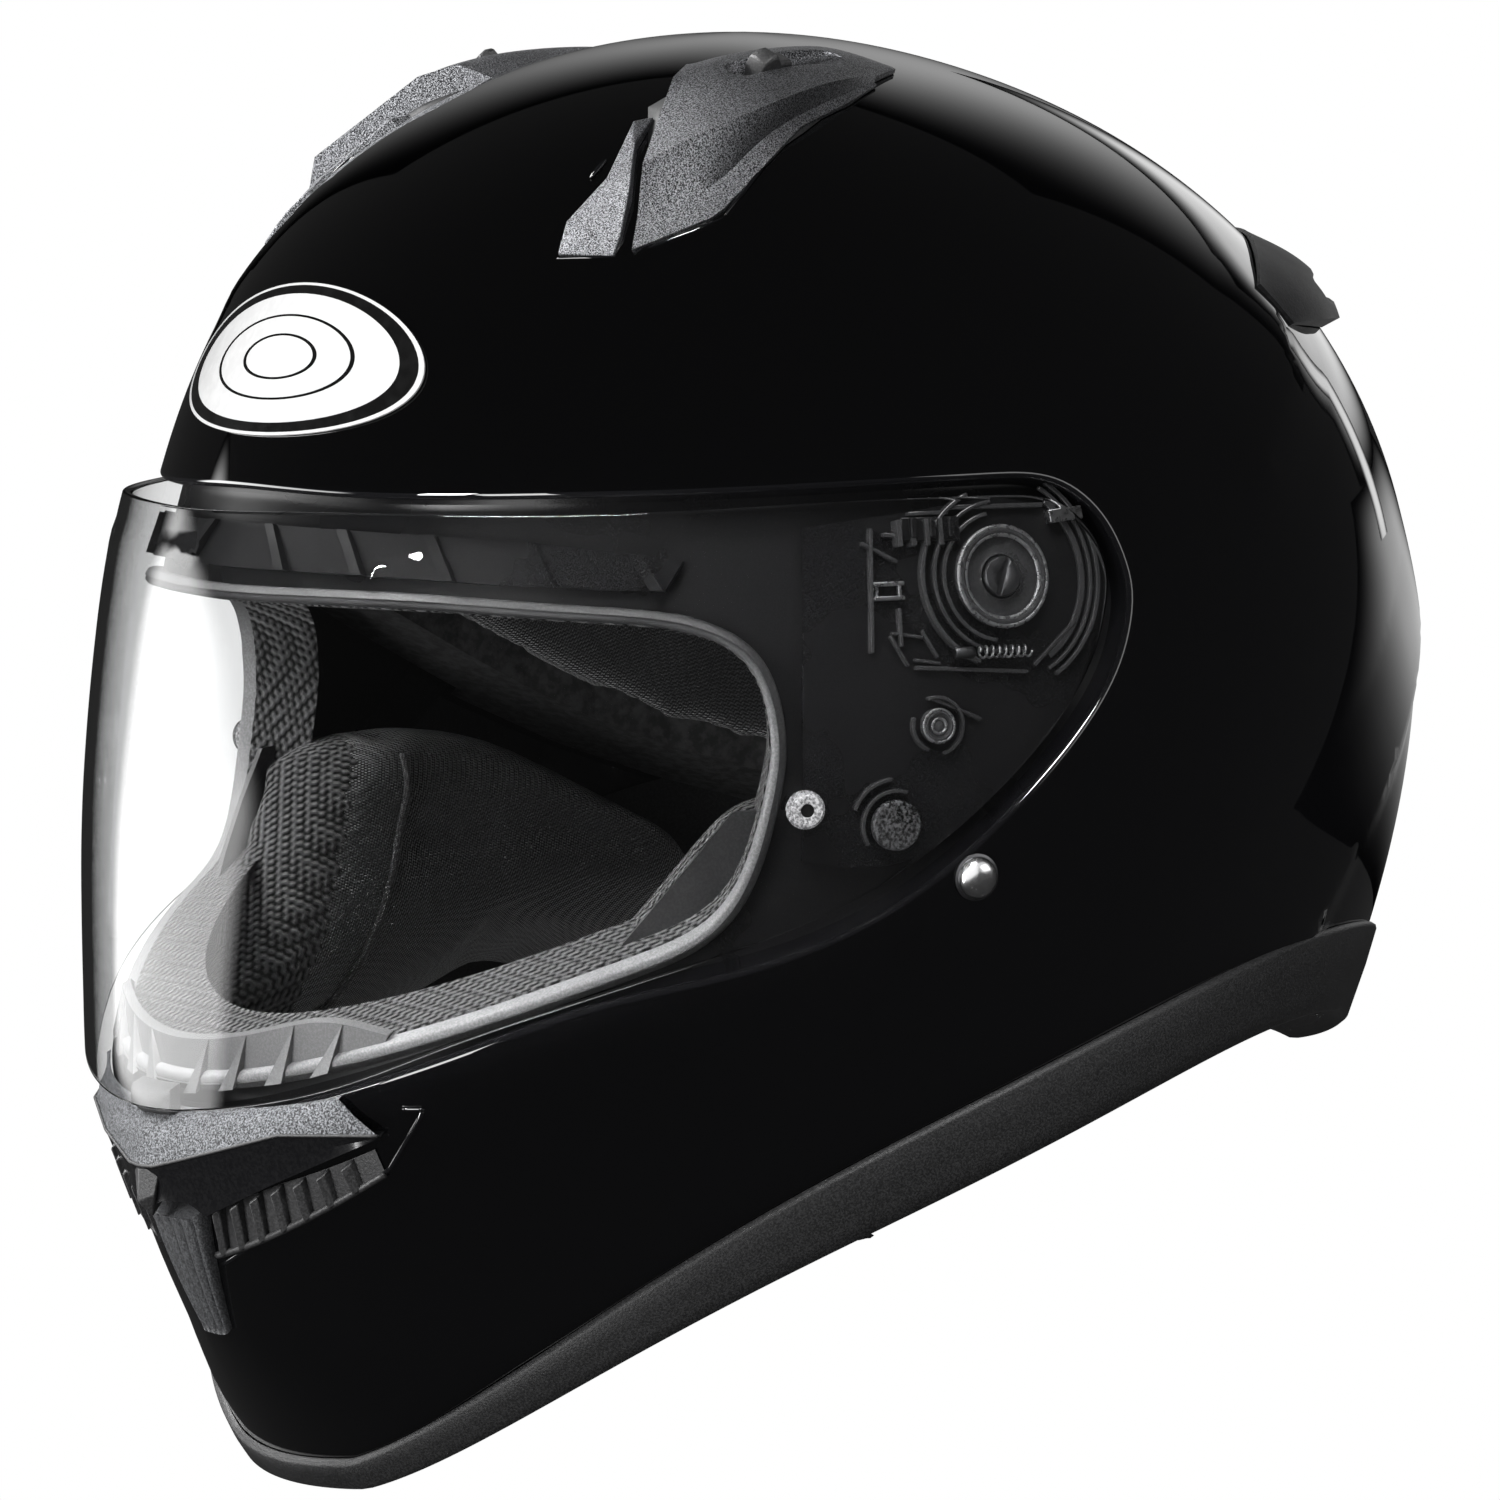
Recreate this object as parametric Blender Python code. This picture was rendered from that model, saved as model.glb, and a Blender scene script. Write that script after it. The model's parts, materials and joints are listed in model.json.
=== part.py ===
"""Full-face motorcycle helmet: shell, visor, vents, linings, chin strap and visor mechanism as separate pieces.

Shapes are laid out in the worn position (millimetres, origin on the visor hinge axis, +X wearer's left,
-Y forward), then tipped back so that the helmet rests on its rim, and written out in metres.
"""
import math

import bmesh
import bpy
import numpy as np
from mathutils import Vector

MM = 0.001
REST_TILT = math.radians(18.5)

# Shell profile: centre of the surface, crown height, then (distance from centre axis, height) down each side.
CENTRE = np.array([0.0, 15.0, -20.0])
CROWN = 111.5
SHELL_FRONT = [(38, 107), (75, 91), (103, 66), (118.5, 39), (128, 12), (137, -25), (143, -62), (145, -98),
               (141, -133), (131, -163), (114, -194), (100, -215)]
SHELL_SIDE = [(42, 104), (76, 86), (101, 58), (115, 28), (121.5, 0), (124.5, -30), (124, -60), (120.5, -90),
              (115, -120), (108, -150), (98, -185)]
SHELL_REAR = [(44, 105), (87, 86.5), (121, 59), (145, 22), (154, -14), (153, -46), (145, -80), (133, -112),
              (121, -145), (104, -185)]
FRONT_SHOULDER = [(0, 0), (30, 0.012), (60, 0.026), (80, 0.026), (100, 0.012), (120, -0.006), (145, -0.02),
                  (160, -0.02)]
REAR_SHOULDER = [(0, 0), (30, 0), (60, 0.015), (80, 0.02), (100, 0.01), (120, 0), (160, 0)]
VISOR_FRONT = [(38, 107), (78, 94), (111, 66), (126, 39), (136.5, 12), (144, -25), (148.5, -62), (150, -98),
               (147, -133), (131, -163), (114, -194), (100, -215)]
VISOR_SIDE_PROUD = 3.2

SHELL_WALL = 3.5
RECESS_DEPTH = 5.5
RECESS_FLOOR = 3.5
RECESS_LIP = 1.2
VISOR_WALL = 2.2
FIT_GAP = 0.3
FOAM_WALL = 28.0
LINER_WALL = 7.0
RIM_LIFT = 3.0
TRIM_WALL = 1.2
FLOOR_GAP = 0.7

# Rim height of the resting helmet at 0, 45, 90, 135 and 180 degrees round from the front; flat below the floor.
RIM_HEIGHTS = [-156, -132, -117, -127, -156]
RIM_FLOOR = -153.5

SHELL_COLUMNS = 48
SHELL_ROWS = 18
INSIDE_COLUMNS = 32
INSIDE_ROWS = 9

# Half outlines from the middle plane to the wearer's left: upper edge and lower edge end on one point.
WINDOW_TOP = [(0, -106, 14.5), (40, -104, 15), (81, -82, 16.5), (99, -60, 17.5), (112, -30, 19), (117, 1, 20),
              (118.5, 16, 18.5), (119.5, 26, 10), (121, 31, -4)]
WINDOW_LOW = [(0, -129, -116), (24, -126, -113), (47, -118, -107), (66, -105, -99), (92, -80, -86.5),
              (108, -52, -78.5), (118, -29, -69), (122, -10, -56), (124, 6, -42), (124.5, 18, -30),
              (123, 28, -15), (121, 31, -4)]
VISOR_TOP = [(0, -121, 12), (33, -116, 12.5), (86, -86, 13.5), (103, -63, 14.5), (115, -32, 16), (120, -1, 16.5),
             (121.5, 14, 14.5), (123, 21, 8), (124.5, 24, -1)]
VISOR_LOW = [(0, -135, -113.5), (34, -129, -110), (52, -120.6, -105.4), (72, -106, -96), (90, -88, -87),
             (110, -58, -75), (119, -37, -66), (127, -5, -43.5), (127.6, 9, -30), (126, 20, -14), (124.5, 24, -1)]
PORT_TOP = [(0, -112, -8), (60, -95, -8), (85, -80, -9), (99, -66, -10.5), (106, -55, -16), (109.5, -50, -36)]
PORT_LOW = [(0, -125, -104), (40, -118, -100), (75, -95, -88), (95, -74, -78), (104, -60, -69), (108, -54, -55),
            (109.5, -50, -36)]


def spline(knots, values):
    """Natural cubic spline through the knots."""
    x = np.array(knots, float)
    y = np.array(values, float)
    h = np.diff(x)
    n = len(x)
    system = np.eye(n)
    right = np.zeros(n)
    for i in range(1, n - 1):
        system[i, i - 1:i + 2] = h[i - 1], 2 * (h[i - 1] + h[i]), h[i]
        right[i] = 6 * ((y[i + 1] - y[i]) / h[i] - (y[i] - y[i - 1]) / h[i - 1])
    bend = np.linalg.solve(system, right)

    def value(at):
        at = np.asarray(at, float)
        i = np.clip(np.searchsorted(x, at) - 1, 0, n - 2)
        a = x[i + 1] - at
        b = at - x[i]
        d = h[i]
        curve = (bend[i] * a ** 3 + bend[i + 1] * b ** 3) / (6 * d)
        return curve + (y[i] / d - bend[i] * d / 6) * a + (y[i + 1] / d - bend[i + 1] * d / 6) * b

    return value


def meridian(profile):
    """Distance from the centre as a function of the angle down from the crown."""
    pts = np.array([(-profile[0][0], profile[0][1]), (0, CROWN)] + list(profile), float)
    pts[:, 1] -= CENTRE[2]
    return spline(np.arctan2(pts[:, 0], pts[:, 1]), np.hypot(pts[:, 0], pts[:, 1]))


class Surface:
    """Closed rounded surface: front, side and rear profiles blended round the vertical axis."""

    def __init__(self, front, side, rear):
        self.profiles = [meridian(p) for p in (front, side, rear)]
        self.shoulders = [spline(np.radians([k for k, _ in s]), [v for _, v in s])
                          for s in (FRONT_SHOULDER, REAR_SHOULDER)]
        stations = np.radians([0, 45, 90, 135, 180])
        self.fit = np.linalg.inv(np.array([[math.cos(k * a) for k in range(5)] for a in stations]))

    def radius(self, turn, drop):
        front, side, rear = [1 / p(drop) ** 2 for p in self.profiles]
        near = 0.5 * (front + side) / (1 + self.shoulders[0](drop)) ** 2
        far = 0.5 * (side + rear) / (1 + self.shoulders[1](drop)) ** 2
        waves = np.stack(np.broadcast_arrays(front, near, side, far, rear), -1) @ self.fit.T
        return 1 / np.sqrt(sum(waves[..., k] * np.cos(k * turn) for k in range(5)))

    def at(self, turn, drop, depth=0.0):
        """Point at an azimuth and an angle down from the crown, depth measured square to the surface."""
        turn, drop = np.broadcast_arrays(turn, drop)
        r = self.radius(turn, drop)
        step = 1e-3
        slope_d = (self.radius(turn, drop + step) - self.radius(turn, np.abs(drop - step))) / (2 * step)
        slope_t = (self.radius(turn + step, drop) - self.radius(turn - step, drop)) / (2 * step)
        lean = np.sqrt(1 + (slope_d / r) ** 2 + (slope_t / (r * np.maximum(np.sin(drop), 0.05))) ** 2)
        r = r + np.asarray(depth) * lean
        out = [r * np.sin(drop) * np.sin(turn), -r * np.sin(drop) * np.cos(turn), r * np.cos(drop)]
        return np.stack(out, -1) + CENTRE

    def project(self, pts, depth=0.0):
        """Nearby points moved along the line from the centre onto the surface."""
        q = np.asarray(pts, float) - CENTRE
        turn = np.arctan2(q[..., 0], -q[..., 1])
        drop = np.arccos(q[..., 2] / np.linalg.norm(q, axis=-1))
        return self.at(turn, drop, depth)

    def normal(self, pt):
        """Outward direction at a point."""
        q = np.asarray(pt, float) - CENTRE
        turn = math.atan2(q[0], -q[1])
        drop = math.acos(q[2] / np.linalg.norm(q))
        step = 1e-3
        along = self.at(turn + step, drop) - self.at(turn - step, drop)
        down = self.at(turn, drop + step) - self.at(turn, drop - step)
        n = np.cross(down, along)
        return n / np.linalg.norm(n)

    def drop_at(self, turn, height, low=0.6, high=2.75):
        """Angle down from the crown at which the surface passes a height."""
        turn = np.asarray(turn, float)
        a = np.full(turn.shape, low)
        b = np.full(turn.shape, high)
        for _ in range(30):
            mid = 0.5 * (a + b)
            above = height(self.at(turn, mid)) > 0
            a = np.where(above, mid, a)
            b = np.where(above, b, mid)
        return 0.5 * (a + b)


SHELL = Surface(SHELL_FRONT, SHELL_SIDE, SHELL_REAR)
VISOR = Surface(VISOR_FRONT, [(a + VISOR_SIDE_PROUD, b) for a, b in SHELL_SIDE], SHELL_REAR)


def rest(pts):
    """Worn position to resting position, still in millimetres."""
    p = np.asarray(pts, float)
    c = math.cos(REST_TILT)
    s = math.sin(REST_TILT)
    return np.stack([p[..., 0], p[..., 1] * c + p[..., 2] * s, p[..., 2] * c - p[..., 1] * s], -1)


def unrest(pts):
    """Resting position to worn position, in millimetres."""
    p = np.asarray(pts, float)
    c = math.cos(REST_TILT)
    s = math.sin(REST_TILT)
    return np.stack([p[..., 0], p[..., 1] * c - p[..., 2] * s, p[..., 2] * c + p[..., 1] * s], -1)


def cosine_series(values):
    """Smooth even function of azimuth through values at 0, 45, 90, 135 and 180 degrees."""
    fit = SHELL.fit @ np.array(values, float)
    return lambda turn: sum(fit[k] * np.cos(k * np.asarray(turn)) for k in range(5))


def rim_drop(turn, lift=0.0):
    """Angle down from the crown of the shell's rim, lifted by some millimetres."""
    heights = np.maximum(cosine_series(RIM_HEIGHTS)(turn), RIM_FLOOR)
    return SHELL.drop_at(turn, lambda p: rest(p)[..., 2] - heights - lift)


def level_drop(turn, values):
    """Angle down from the crown of an edge whose worn height is given at five azimuths."""
    heights = cosine_series(values)
    return SHELL.drop_at(turn, lambda p: p[..., 2] - heights(turn))


# ---------------------------------------------------------------- materials

def material(name, colour, roughness, metallic=0.0, transmission=0.0, coat=0.0):
    mat = bpy.data.materials.new(name)
    mat.use_nodes = True
    shader = mat.node_tree.nodes["Principled BSDF"]
    shader.inputs["Base Color"].default_value = (*colour, 1.0)
    shader.inputs["Roughness"].default_value = roughness
    shader.inputs["Metallic"].default_value = metallic
    shader.inputs["Transmission Weight"].default_value = transmission
    shader.inputs["Coat Weight"].default_value = coat
    mat.diffuse_color = (*colour, 1.0)
    return mat


PALETTE = {
    "gloss": ((0.006, 0.006, 0.007), 0.08, 0.0, 0.0, 1.0),
    "grain": ((0.022, 0.023, 0.025), 0.5, 0.35, 0.0, 0.0),
    "matte": ((0.012, 0.012, 0.013), 0.6, 0.0, 0.0, 0.0),
    "clear": ((0.95, 0.97, 0.98), 0.03, 0.0, 1.0, 0.0),
    "foam": ((0.03, 0.03, 0.032), 0.85, 0.0, 0.0, 0.0),
    "fabric": ((0.02, 0.02, 0.022), 0.95, 0.0, 0.0, 0.0),
    "webbing": ((0.014, 0.014, 0.015), 0.9, 0.0, 0.0, 0.0),
    "rubber": ((0.018, 0.018, 0.019), 0.7, 0.0, 0.0, 0.0),
    "chrome": ((0.72, 0.72, 0.72), 0.12, 1.0, 0.0, 0.0),
    "steel": ((0.5, 0.5, 0.52), 0.35, 1.0, 0.0, 0.0),
    "print": ((0.8, 0.8, 0.8), 0.3, 0.0, 0.0, 0.5),
}


# ---------------------------------------------------------------- mesh helpers

def add_object(name, verts, faces, finish, pivot=None, smooth=True):
    """One named object; its origin sits at the pivot if one is given, else at its middle."""
    pts = rest(np.array(verts, float)) * MM
    home = rest(np.array(pivot, float)) * MM if pivot is not None else 0.5 * (pts.min(0) + pts.max(0))
    mesh = bpy.data.meshes.new(name)
    work = bmesh.new()
    made = [work.verts.new(Vector(p - home)) for p in pts]
    for face in faces:
        work.faces.new([made[i] for i in face])
    bmesh.ops.remove_doubles(work, verts=work.verts, dist=1e-7)
    bmesh.ops.recalc_face_normals(work, faces=work.faces)
    if work.calc_volume(signed=True) < 0:
        bmesh.ops.reverse_faces(work, faces=work.faces)
    for face in work.faces:
        face.smooth = smooth
    work.to_mesh(mesh)
    work.free()
    obj = bpy.data.objects.new(name, mesh)
    obj.location = Vector(home)
    mesh.materials.append(material(name + "_material", *PALETTE[finish]))
    bpy.context.collection.objects.link(obj)
    return obj


def add_pair(name, verts, faces, finish, pivot=None, smooth=True):
    """The wearer's left piece and its mirror image."""
    flip = np.array([-1.0, 1.0, 1.0])
    verts = np.array(verts, float)
    other = None if pivot is None else np.array(pivot, float) * flip
    left = add_object(name + "_left", verts, faces, finish, pivot, smooth)
    right = add_object(name + "_right", verts * flip, faces, finish, other, smooth)
    return left, right


def cut(obj, cutter_name, verts, faces, operation="DIFFERENCE"):
    """Boolean with a hidden guide object."""
    guide = add_object(cutter_name, verts, faces, "matte")
    guide.hide_render = True
    guide.display_type = "WIRE"
    step = obj.modifiers.new(cutter_name, "BOOLEAN")
    step.operation = operation
    step.solver = "EXACT"
    step.object = guide


def quads(rows, columns, start=0, wrap=False):
    """Quads over a grid of points numbered row by row."""
    faces = []
    for i in range(rows - 1):
        for j in range(columns if wrap else columns - 1):
            k = (j + 1) % columns
            a, b = start + i * columns, start + (i + 1) * columns
            faces.append((a + j, a + k, b + k, b + j))
    return faces


def tidy_faces(verts, faces):
    """Merge points that coincide and drop the edges that vanish."""
    keys = {}
    kept = []
    index = []
    for p in verts:
        key = tuple(np.round(p, 5))
        if key not in keys:
            keys[key] = len(kept)
            kept.append(p)
        index.append(keys[key])
    clean = []
    for face in faces:
        loop = []
        for i in face:
            if index[i] not in loop:
                loop.append(index[i])
        if len(loop) > 2:
            clean.append(loop)
    return np.array(kept), clean


def slab(outer, inner, wrap=False):
    """Closed solid between two grids of the same size."""
    rows, columns = outer.shape[:2]
    verts = np.concatenate([outer.reshape(-1, 3), inner.reshape(-1, 3)])
    half = rows * columns
    faces = quads(rows, columns, 0, wrap)
    faces += [tuple(reversed(f)) for f in quads(rows, columns, half, wrap)]
    for j in range(columns if wrap else columns - 1):
        k = (j + 1) % columns
        last = (rows - 1) * columns
        faces.append((j, half + j, half + k, k))
        faces.append((last + j, last + k, half + last + k, half + last + j))
    if not wrap:
        for i in range(rows - 1):
            for edge in (i * columns, i * columns + columns - 1):
                below = edge + columns
                faces.append((edge, below, half + below, half + edge))
    return tidy_faces(verts, faces)


def dome(surface, outer_depth, inner_depth, columns, rows, edge):
    """Closed bowl from the crown down to an edge, between two depths."""
    turn = np.linspace(0, 2 * math.pi, columns, endpoint=False)
    share = np.linspace(0, 1, rows + 1)[:, None]
    drop = np.maximum(share * edge(turn)[None, :], 1e-4)
    outer = surface.at(turn[None, :], drop, outer_depth)
    inner = surface.at(turn[None, :], drop, inner_depth)
    outer[0] = surface.at(0.0, 1e-4, outer_depth)
    inner[0] = surface.at(0.0, 1e-4, inner_depth)
    return slab(outer, inner, wrap=True)


def resample(points, count):
    """Points evenly spaced along a smooth curve through the given ones."""
    pts = np.array(points, float)
    reach = np.concatenate([[0], np.cumsum(np.linalg.norm(np.diff(pts, axis=0), axis=1))])
    curves = [spline(reach, pts[:, k]) for k in range(3)]
    fine = np.linspace(0, reach[-1], 200)
    dense = np.stack([c(fine) for c in curves], -1)
    length = np.concatenate([[0], np.cumsum(np.linalg.norm(np.diff(dense, axis=0), axis=1))])
    want = np.linspace(0, length[-1], count)
    return np.stack([np.interp(want, length, dense[:, k]) for k in range(3)], -1)


def mirrored(points):
    """Half outline continued across the middle plane."""
    half = np.array(points, float)
    other = half[:0:-1] * np.array([-1.0, 1.0, 1.0])
    return np.concatenate([other, half])


def lens(top, low, columns, grow=0.0):
    """Upper and lower edges of a band that meets in a point at both ends, grown outward if asked."""
    upper = resample(mirrored(top), columns)
    lower = resample(mirrored(low), columns)
    if grow:
        loop = np.concatenate([upper, lower[-2:0:-1]])
        side = np.roll(loop, -1, axis=0) - np.roll(loop, 1, axis=0)
        out = np.cross(side, loop - CENTRE)
        out /= np.linalg.norm(out, axis=1)[:, None]
        if out[columns // 2, 2] < 0:
            out = -out
        loop = loop + grow * out
        upper = loop[:columns]
        lower = np.concatenate([loop[:1], loop[:columns - 2:-1]])
    return upper, lower


def between(upper, lower, rows):
    """Grid of points filling the space between two edges."""
    share = np.linspace(0, 1, rows)[:, None, None]
    return upper[None] * (1 - share) + lower[None] * share


def band(surface, upper, lower, rows, outer_depth, inner_depth):
    """Closed sheet following the surface between two edges."""
    grid = between(upper, lower, rows)
    return slab(surface.project(grid, outer_depth), surface.project(grid, inner_depth))


def pillow(rows, columns, sharpness=4):
    """Bulge that is 1 over the middle and 0 at all four edges."""
    across = 1 - np.abs(np.linspace(-1, 1, rows)) ** sharpness
    along = 1 - np.abs(np.linspace(-1, 1, columns)) ** (2 * sharpness)
    return np.sqrt(across)[:, None] * np.sqrt(along)[None, :]


def frame_at(surface, spot):
    """Point on the surface with two directions along it and one out of it."""
    at = surface.project(np.array(spot, float))
    out = surface.normal(at)
    side = np.cross(np.array([0.0, 0.0, 1.0]), out)
    side /= np.linalg.norm(side)
    return at, side, np.cross(out, side), out


def turned(surface, spot, profile, segments=20, along=None):
    """Round piece standing on the surface: profile is (radius, height) from the foot to the top."""
    at, side, up, out = frame_at(surface, spot)
    if along is not None:
        out = np.array(along, float)
        side = np.array([0.0, 1.0, 0.0])
        up = np.cross(out, side)
    angle = np.linspace(0, 2 * math.pi, segments, endpoint=False)
    ring = np.cos(angle)[:, None] * side + np.sin(angle)[:, None] * up
    grid = np.stack([at + r * ring + h * out for r, h in profile])
    verts = grid.reshape(-1, 3)
    faces = quads(len(profile), segments, 0, True)
    faces.append(tuple(range(segments)))
    last = (len(profile) - 1) * segments
    faces.append(tuple(range(last + segments - 1, last - 1, -1)))
    return tidy_faces(verts, faces)


def tube(path, radius, sides=6, closed=False):
    """Round bar along a path."""
    path = np.array(path, float)
    if closed:
        lead = np.roll(path, -1, axis=0) - np.roll(path, 1, axis=0)
    else:
        lead = np.gradient(path, axis=0)
    lead /= np.linalg.norm(lead, axis=1)[:, None]
    guide = np.array([0.31, 0.11, 0.94])
    across = guide - (lead @ guide)[:, None] * lead
    across /= np.linalg.norm(across, axis=1)[:, None]
    rise = np.cross(lead, across)
    angle = np.linspace(0, 2 * math.pi, sides, endpoint=False)
    ring = [path + radius * (math.cos(a) * across + math.sin(a) * rise) for a in angle]
    grid = np.stack(ring, 1)
    if closed:
        grid = np.concatenate([grid, grid[:1]])
    faces = quads(len(grid), sides, 0, True)
    if not closed:
        last = (len(grid) - 1) * sides
        faces.append(tuple(range(sides)))
        faces.append(tuple(range(last + sides - 1, last - 1, -1)))
    return tidy_faces(grid.reshape(-1, 3), faces)


def strap_band(path, width, thickness, front):
    """Flat webbing whose (x, z) path lies in one vertical plane and whose width runs front to back."""
    path = np.array(path, float)
    lead = np.gradient(path, axis=0)
    lead /= np.linalg.norm(lead, axis=1)[:, None]
    square = np.stack([-lead[:, 1], lead[:, 0]], -1) * thickness / 2
    grid = []
    for shift, y in ((1, front), (1, front + width), (-1, front + width), (-1, front)):
        line = path + shift * square
        grid.append(np.stack([line[:, 0], np.full(len(line), y), line[:, 1]], -1))
    grid = np.stack(grid, 1)
    faces = quads(len(path), 4, 0, True)
    last = (len(path) - 1) * 4
    faces += [(0, 1, 2, 3), (last + 3, last + 2, last + 1, last)]
    return grid.reshape(-1, 3), faces


def block(surface, spot, size, turn=0.0, lift=0.0):
    """Small rectangular block lying on the surface: size is (along, across, out)."""
    at, side, up, out = frame_at(surface, spot)
    along = math.cos(turn) * side + math.sin(turn) * up
    across = np.cross(out, along)
    verts = []
    for c in (0, 1):
        for a, b in ((-1, -1), (1, -1), (1, 1), (-1, 1)):
            verts.append(at + a * along * size[0] / 2 + b * across * size[1] / 2 + (lift + c * size[2]) * out)
    faces = [(0, 1, 2, 3), (7, 6, 5, 4), (0, 4, 5, 1), (1, 5, 6, 2), (2, 6, 7, 3), (3, 7, 4, 0)]
    return np.array(verts), faces


# ---------------------------------------------------------------- shell group

PIVOT = (121.0, 0.0, 0.0)
RIVET_AT = (122.0, -8.0, -61.5)
RIVET_HOLE = 2.4
SCREW_HOLE = 2.3


def make_shell():
    """Outer shell with the recess for the visor, the eye port and the holes for screws and strap rivets."""
    body = dome(SHELL, 0.0, -SHELL_WALL, SHELL_COLUMNS, SHELL_ROWS, lambda t: rim_drop(t, RIM_LIFT))
    shell = add_object("outer_shell", *body, "gloss")
    floor = -RECESS_DEPTH - RECESS_FLOOR
    pan = band(SHELL, *lens(WINDOW_TOP, WINDOW_LOW, 37, RECESS_LIP), 5, -1.5, floor)
    cut(shell, "guide_recess_pan", *pan, operation="UNION")
    pocket = band(SHELL, *lens(WINDOW_TOP, WINDOW_LOW, 37), 9, 14.0, -RECESS_DEPTH)
    cut(shell, "guide_recess_pocket", *pocket)
    port = band(SHELL, *lens(PORT_TOP, PORT_LOW, 33), 5, 14.0, -20.0)
    cut(shell, "guide_eye_port", *port)
    for side in (1, -1):
        label = "left" if side > 0 else "right"
        place = np.array([side, 1, 1])
        hole = turned(SHELL, RIVET_AT * place, [(RIVET_HOLE, -8), (RIVET_HOLE, 6)], 14)
        cut(shell, "guide_rivet_hole_" + label, *hole)
        bore = turned(SHELL, PIVOT * place, [(SCREW_HOLE, -14), (SCREW_HOLE, 6)], 14)
        cut(shell, "guide_pivot_hole_" + label, *bore)


CROWN_FOAM_EDGE = [0, -2, -42, -74, -86]
CHIN_FOAM_TURN = math.radians(26)
CHIN_FOAM_TOP = [-110, -106, -100, -100, -100]
CHIN_FOAM_LOW = [-178, -150, -130, -130, -130]


def make_foam():
    """Impact foam over the head and behind the chin bar."""
    foam = dome(SHELL, -SHELL_WALL - 0.8, -SHELL_WALL - 0.8 - FOAM_WALL, INSIDE_COLUMNS, INSIDE_ROWS,
                lambda t: level_drop(t, CROWN_FOAM_EDGE))
    crown = add_object("crown_foam", *foam, "foam")
    relief = band(SHELL, *lens(WINDOW_TOP, WINDOW_LOW, 37, RECESS_LIP + 1.5), 5, 3.0,
                  -RECESS_DEPTH - RECESS_FLOOR - 0.8)
    cut(crown, "guide_foam_relief", *relief)
    port = band(SHELL, *lens(PORT_TOP, PORT_LOW, 33, 2.0), 5, 14.0, -60.0)
    cut(crown, "guide_foam_port", *port)
    turn = np.linspace(-CHIN_FOAM_TURN, CHIN_FOAM_TURN, 15)
    upper = SHELL.at(turn, level_drop(turn, CHIN_FOAM_TOP))
    lower = SHELL.at(turn, level_drop(turn, CHIN_FOAM_LOW))
    depth = -RECESS_DEPTH - RECESS_FLOOR - 0.8
    add_object("chin_foam", *band(SHELL, upper, lower, 6, depth, depth - 14.0), "foam")


LINER_GAP = 1.0
LINER_EDGE = [4, 2, -38, -70, -80]


def make_crown_liner():
    """Padded lining over the head."""
    depth = -SHELL_WALL - 0.8 - FOAM_WALL - LINER_GAP
    liner = dome(SHELL, depth, depth - LINER_WALL, INSIDE_COLUMNS, INSIDE_ROWS, lambda t: level_drop(t, LINER_EDGE))
    obj = add_object("crown_liner", *liner, "fabric")
    port = band(SHELL, *lens(PORT_TOP, PORT_LOW, 33, 6.0), 5, 14.0, -70.0)
    cut(obj, "guide_liner_port", *port)


CHEEK_DEPTH = 12.9
CHEEK_THICK = 36.0
CHEEK_TOP = [(98, -52, -48), (104, -38, -47), (112, 0, -50), (108, 40, -70), (98, 66, -84)]
CHEEK_LOW = [(64, -94, -112), (88, -62, -128), (110, -10, -118), (108, 36, -108), (98, 66, -102)]


def make_cheeks():
    """Cheek pads, each on a thin carrier plate."""
    upper = resample(CHEEK_TOP, 13)
    lower = resample(CHEEK_LOW, 13)
    grid = between(upper, lower, 7)
    outer = SHELL.project(grid, -CHEEK_DEPTH)
    inner = SHELL.project(grid, -CHEEK_DEPTH - 8.0 - (CHEEK_THICK - 8.0) * pillow(7, 13))
    add_pair("cheek_pad", *slab(outer, inner), "fabric")
    plate = band(SHELL, upper, lower, 7, -11.4, -CHEEK_DEPTH + FIT_GAP)
    add_pair("cheek_plate", *plate, "matte")


NECK_TURN = math.radians(58)
NECK_TOP = [-89, -88, -78, -76, -76]
NECK_LIFT = 7.0


def make_neck_roll():
    """Padded roll behind the neck, between the cheek pads."""
    turn = math.pi + np.linspace(-NECK_TURN, NECK_TURN, 17)
    upper = SHELL.at(turn, level_drop(turn - math.pi, NECK_TOP))
    lower = SHELL.at(turn, rim_drop(turn, NECK_LIFT))
    grid = between(upper, lower, 6)
    outer = SHELL.project(grid, -7.0)
    inner = SHELL.project(grid, -12.0 - 16.0 * pillow(6, 17, 2))
    add_object("neck_roll", *slab(outer, inner), "fabric")


# Height of the outer leg of the bottom trim at five azimuths, and what its flat feet take off below.
TRIM_LEG = [7, 13, 17, 17, 20]
FOOT_CUT = 0.6


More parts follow.
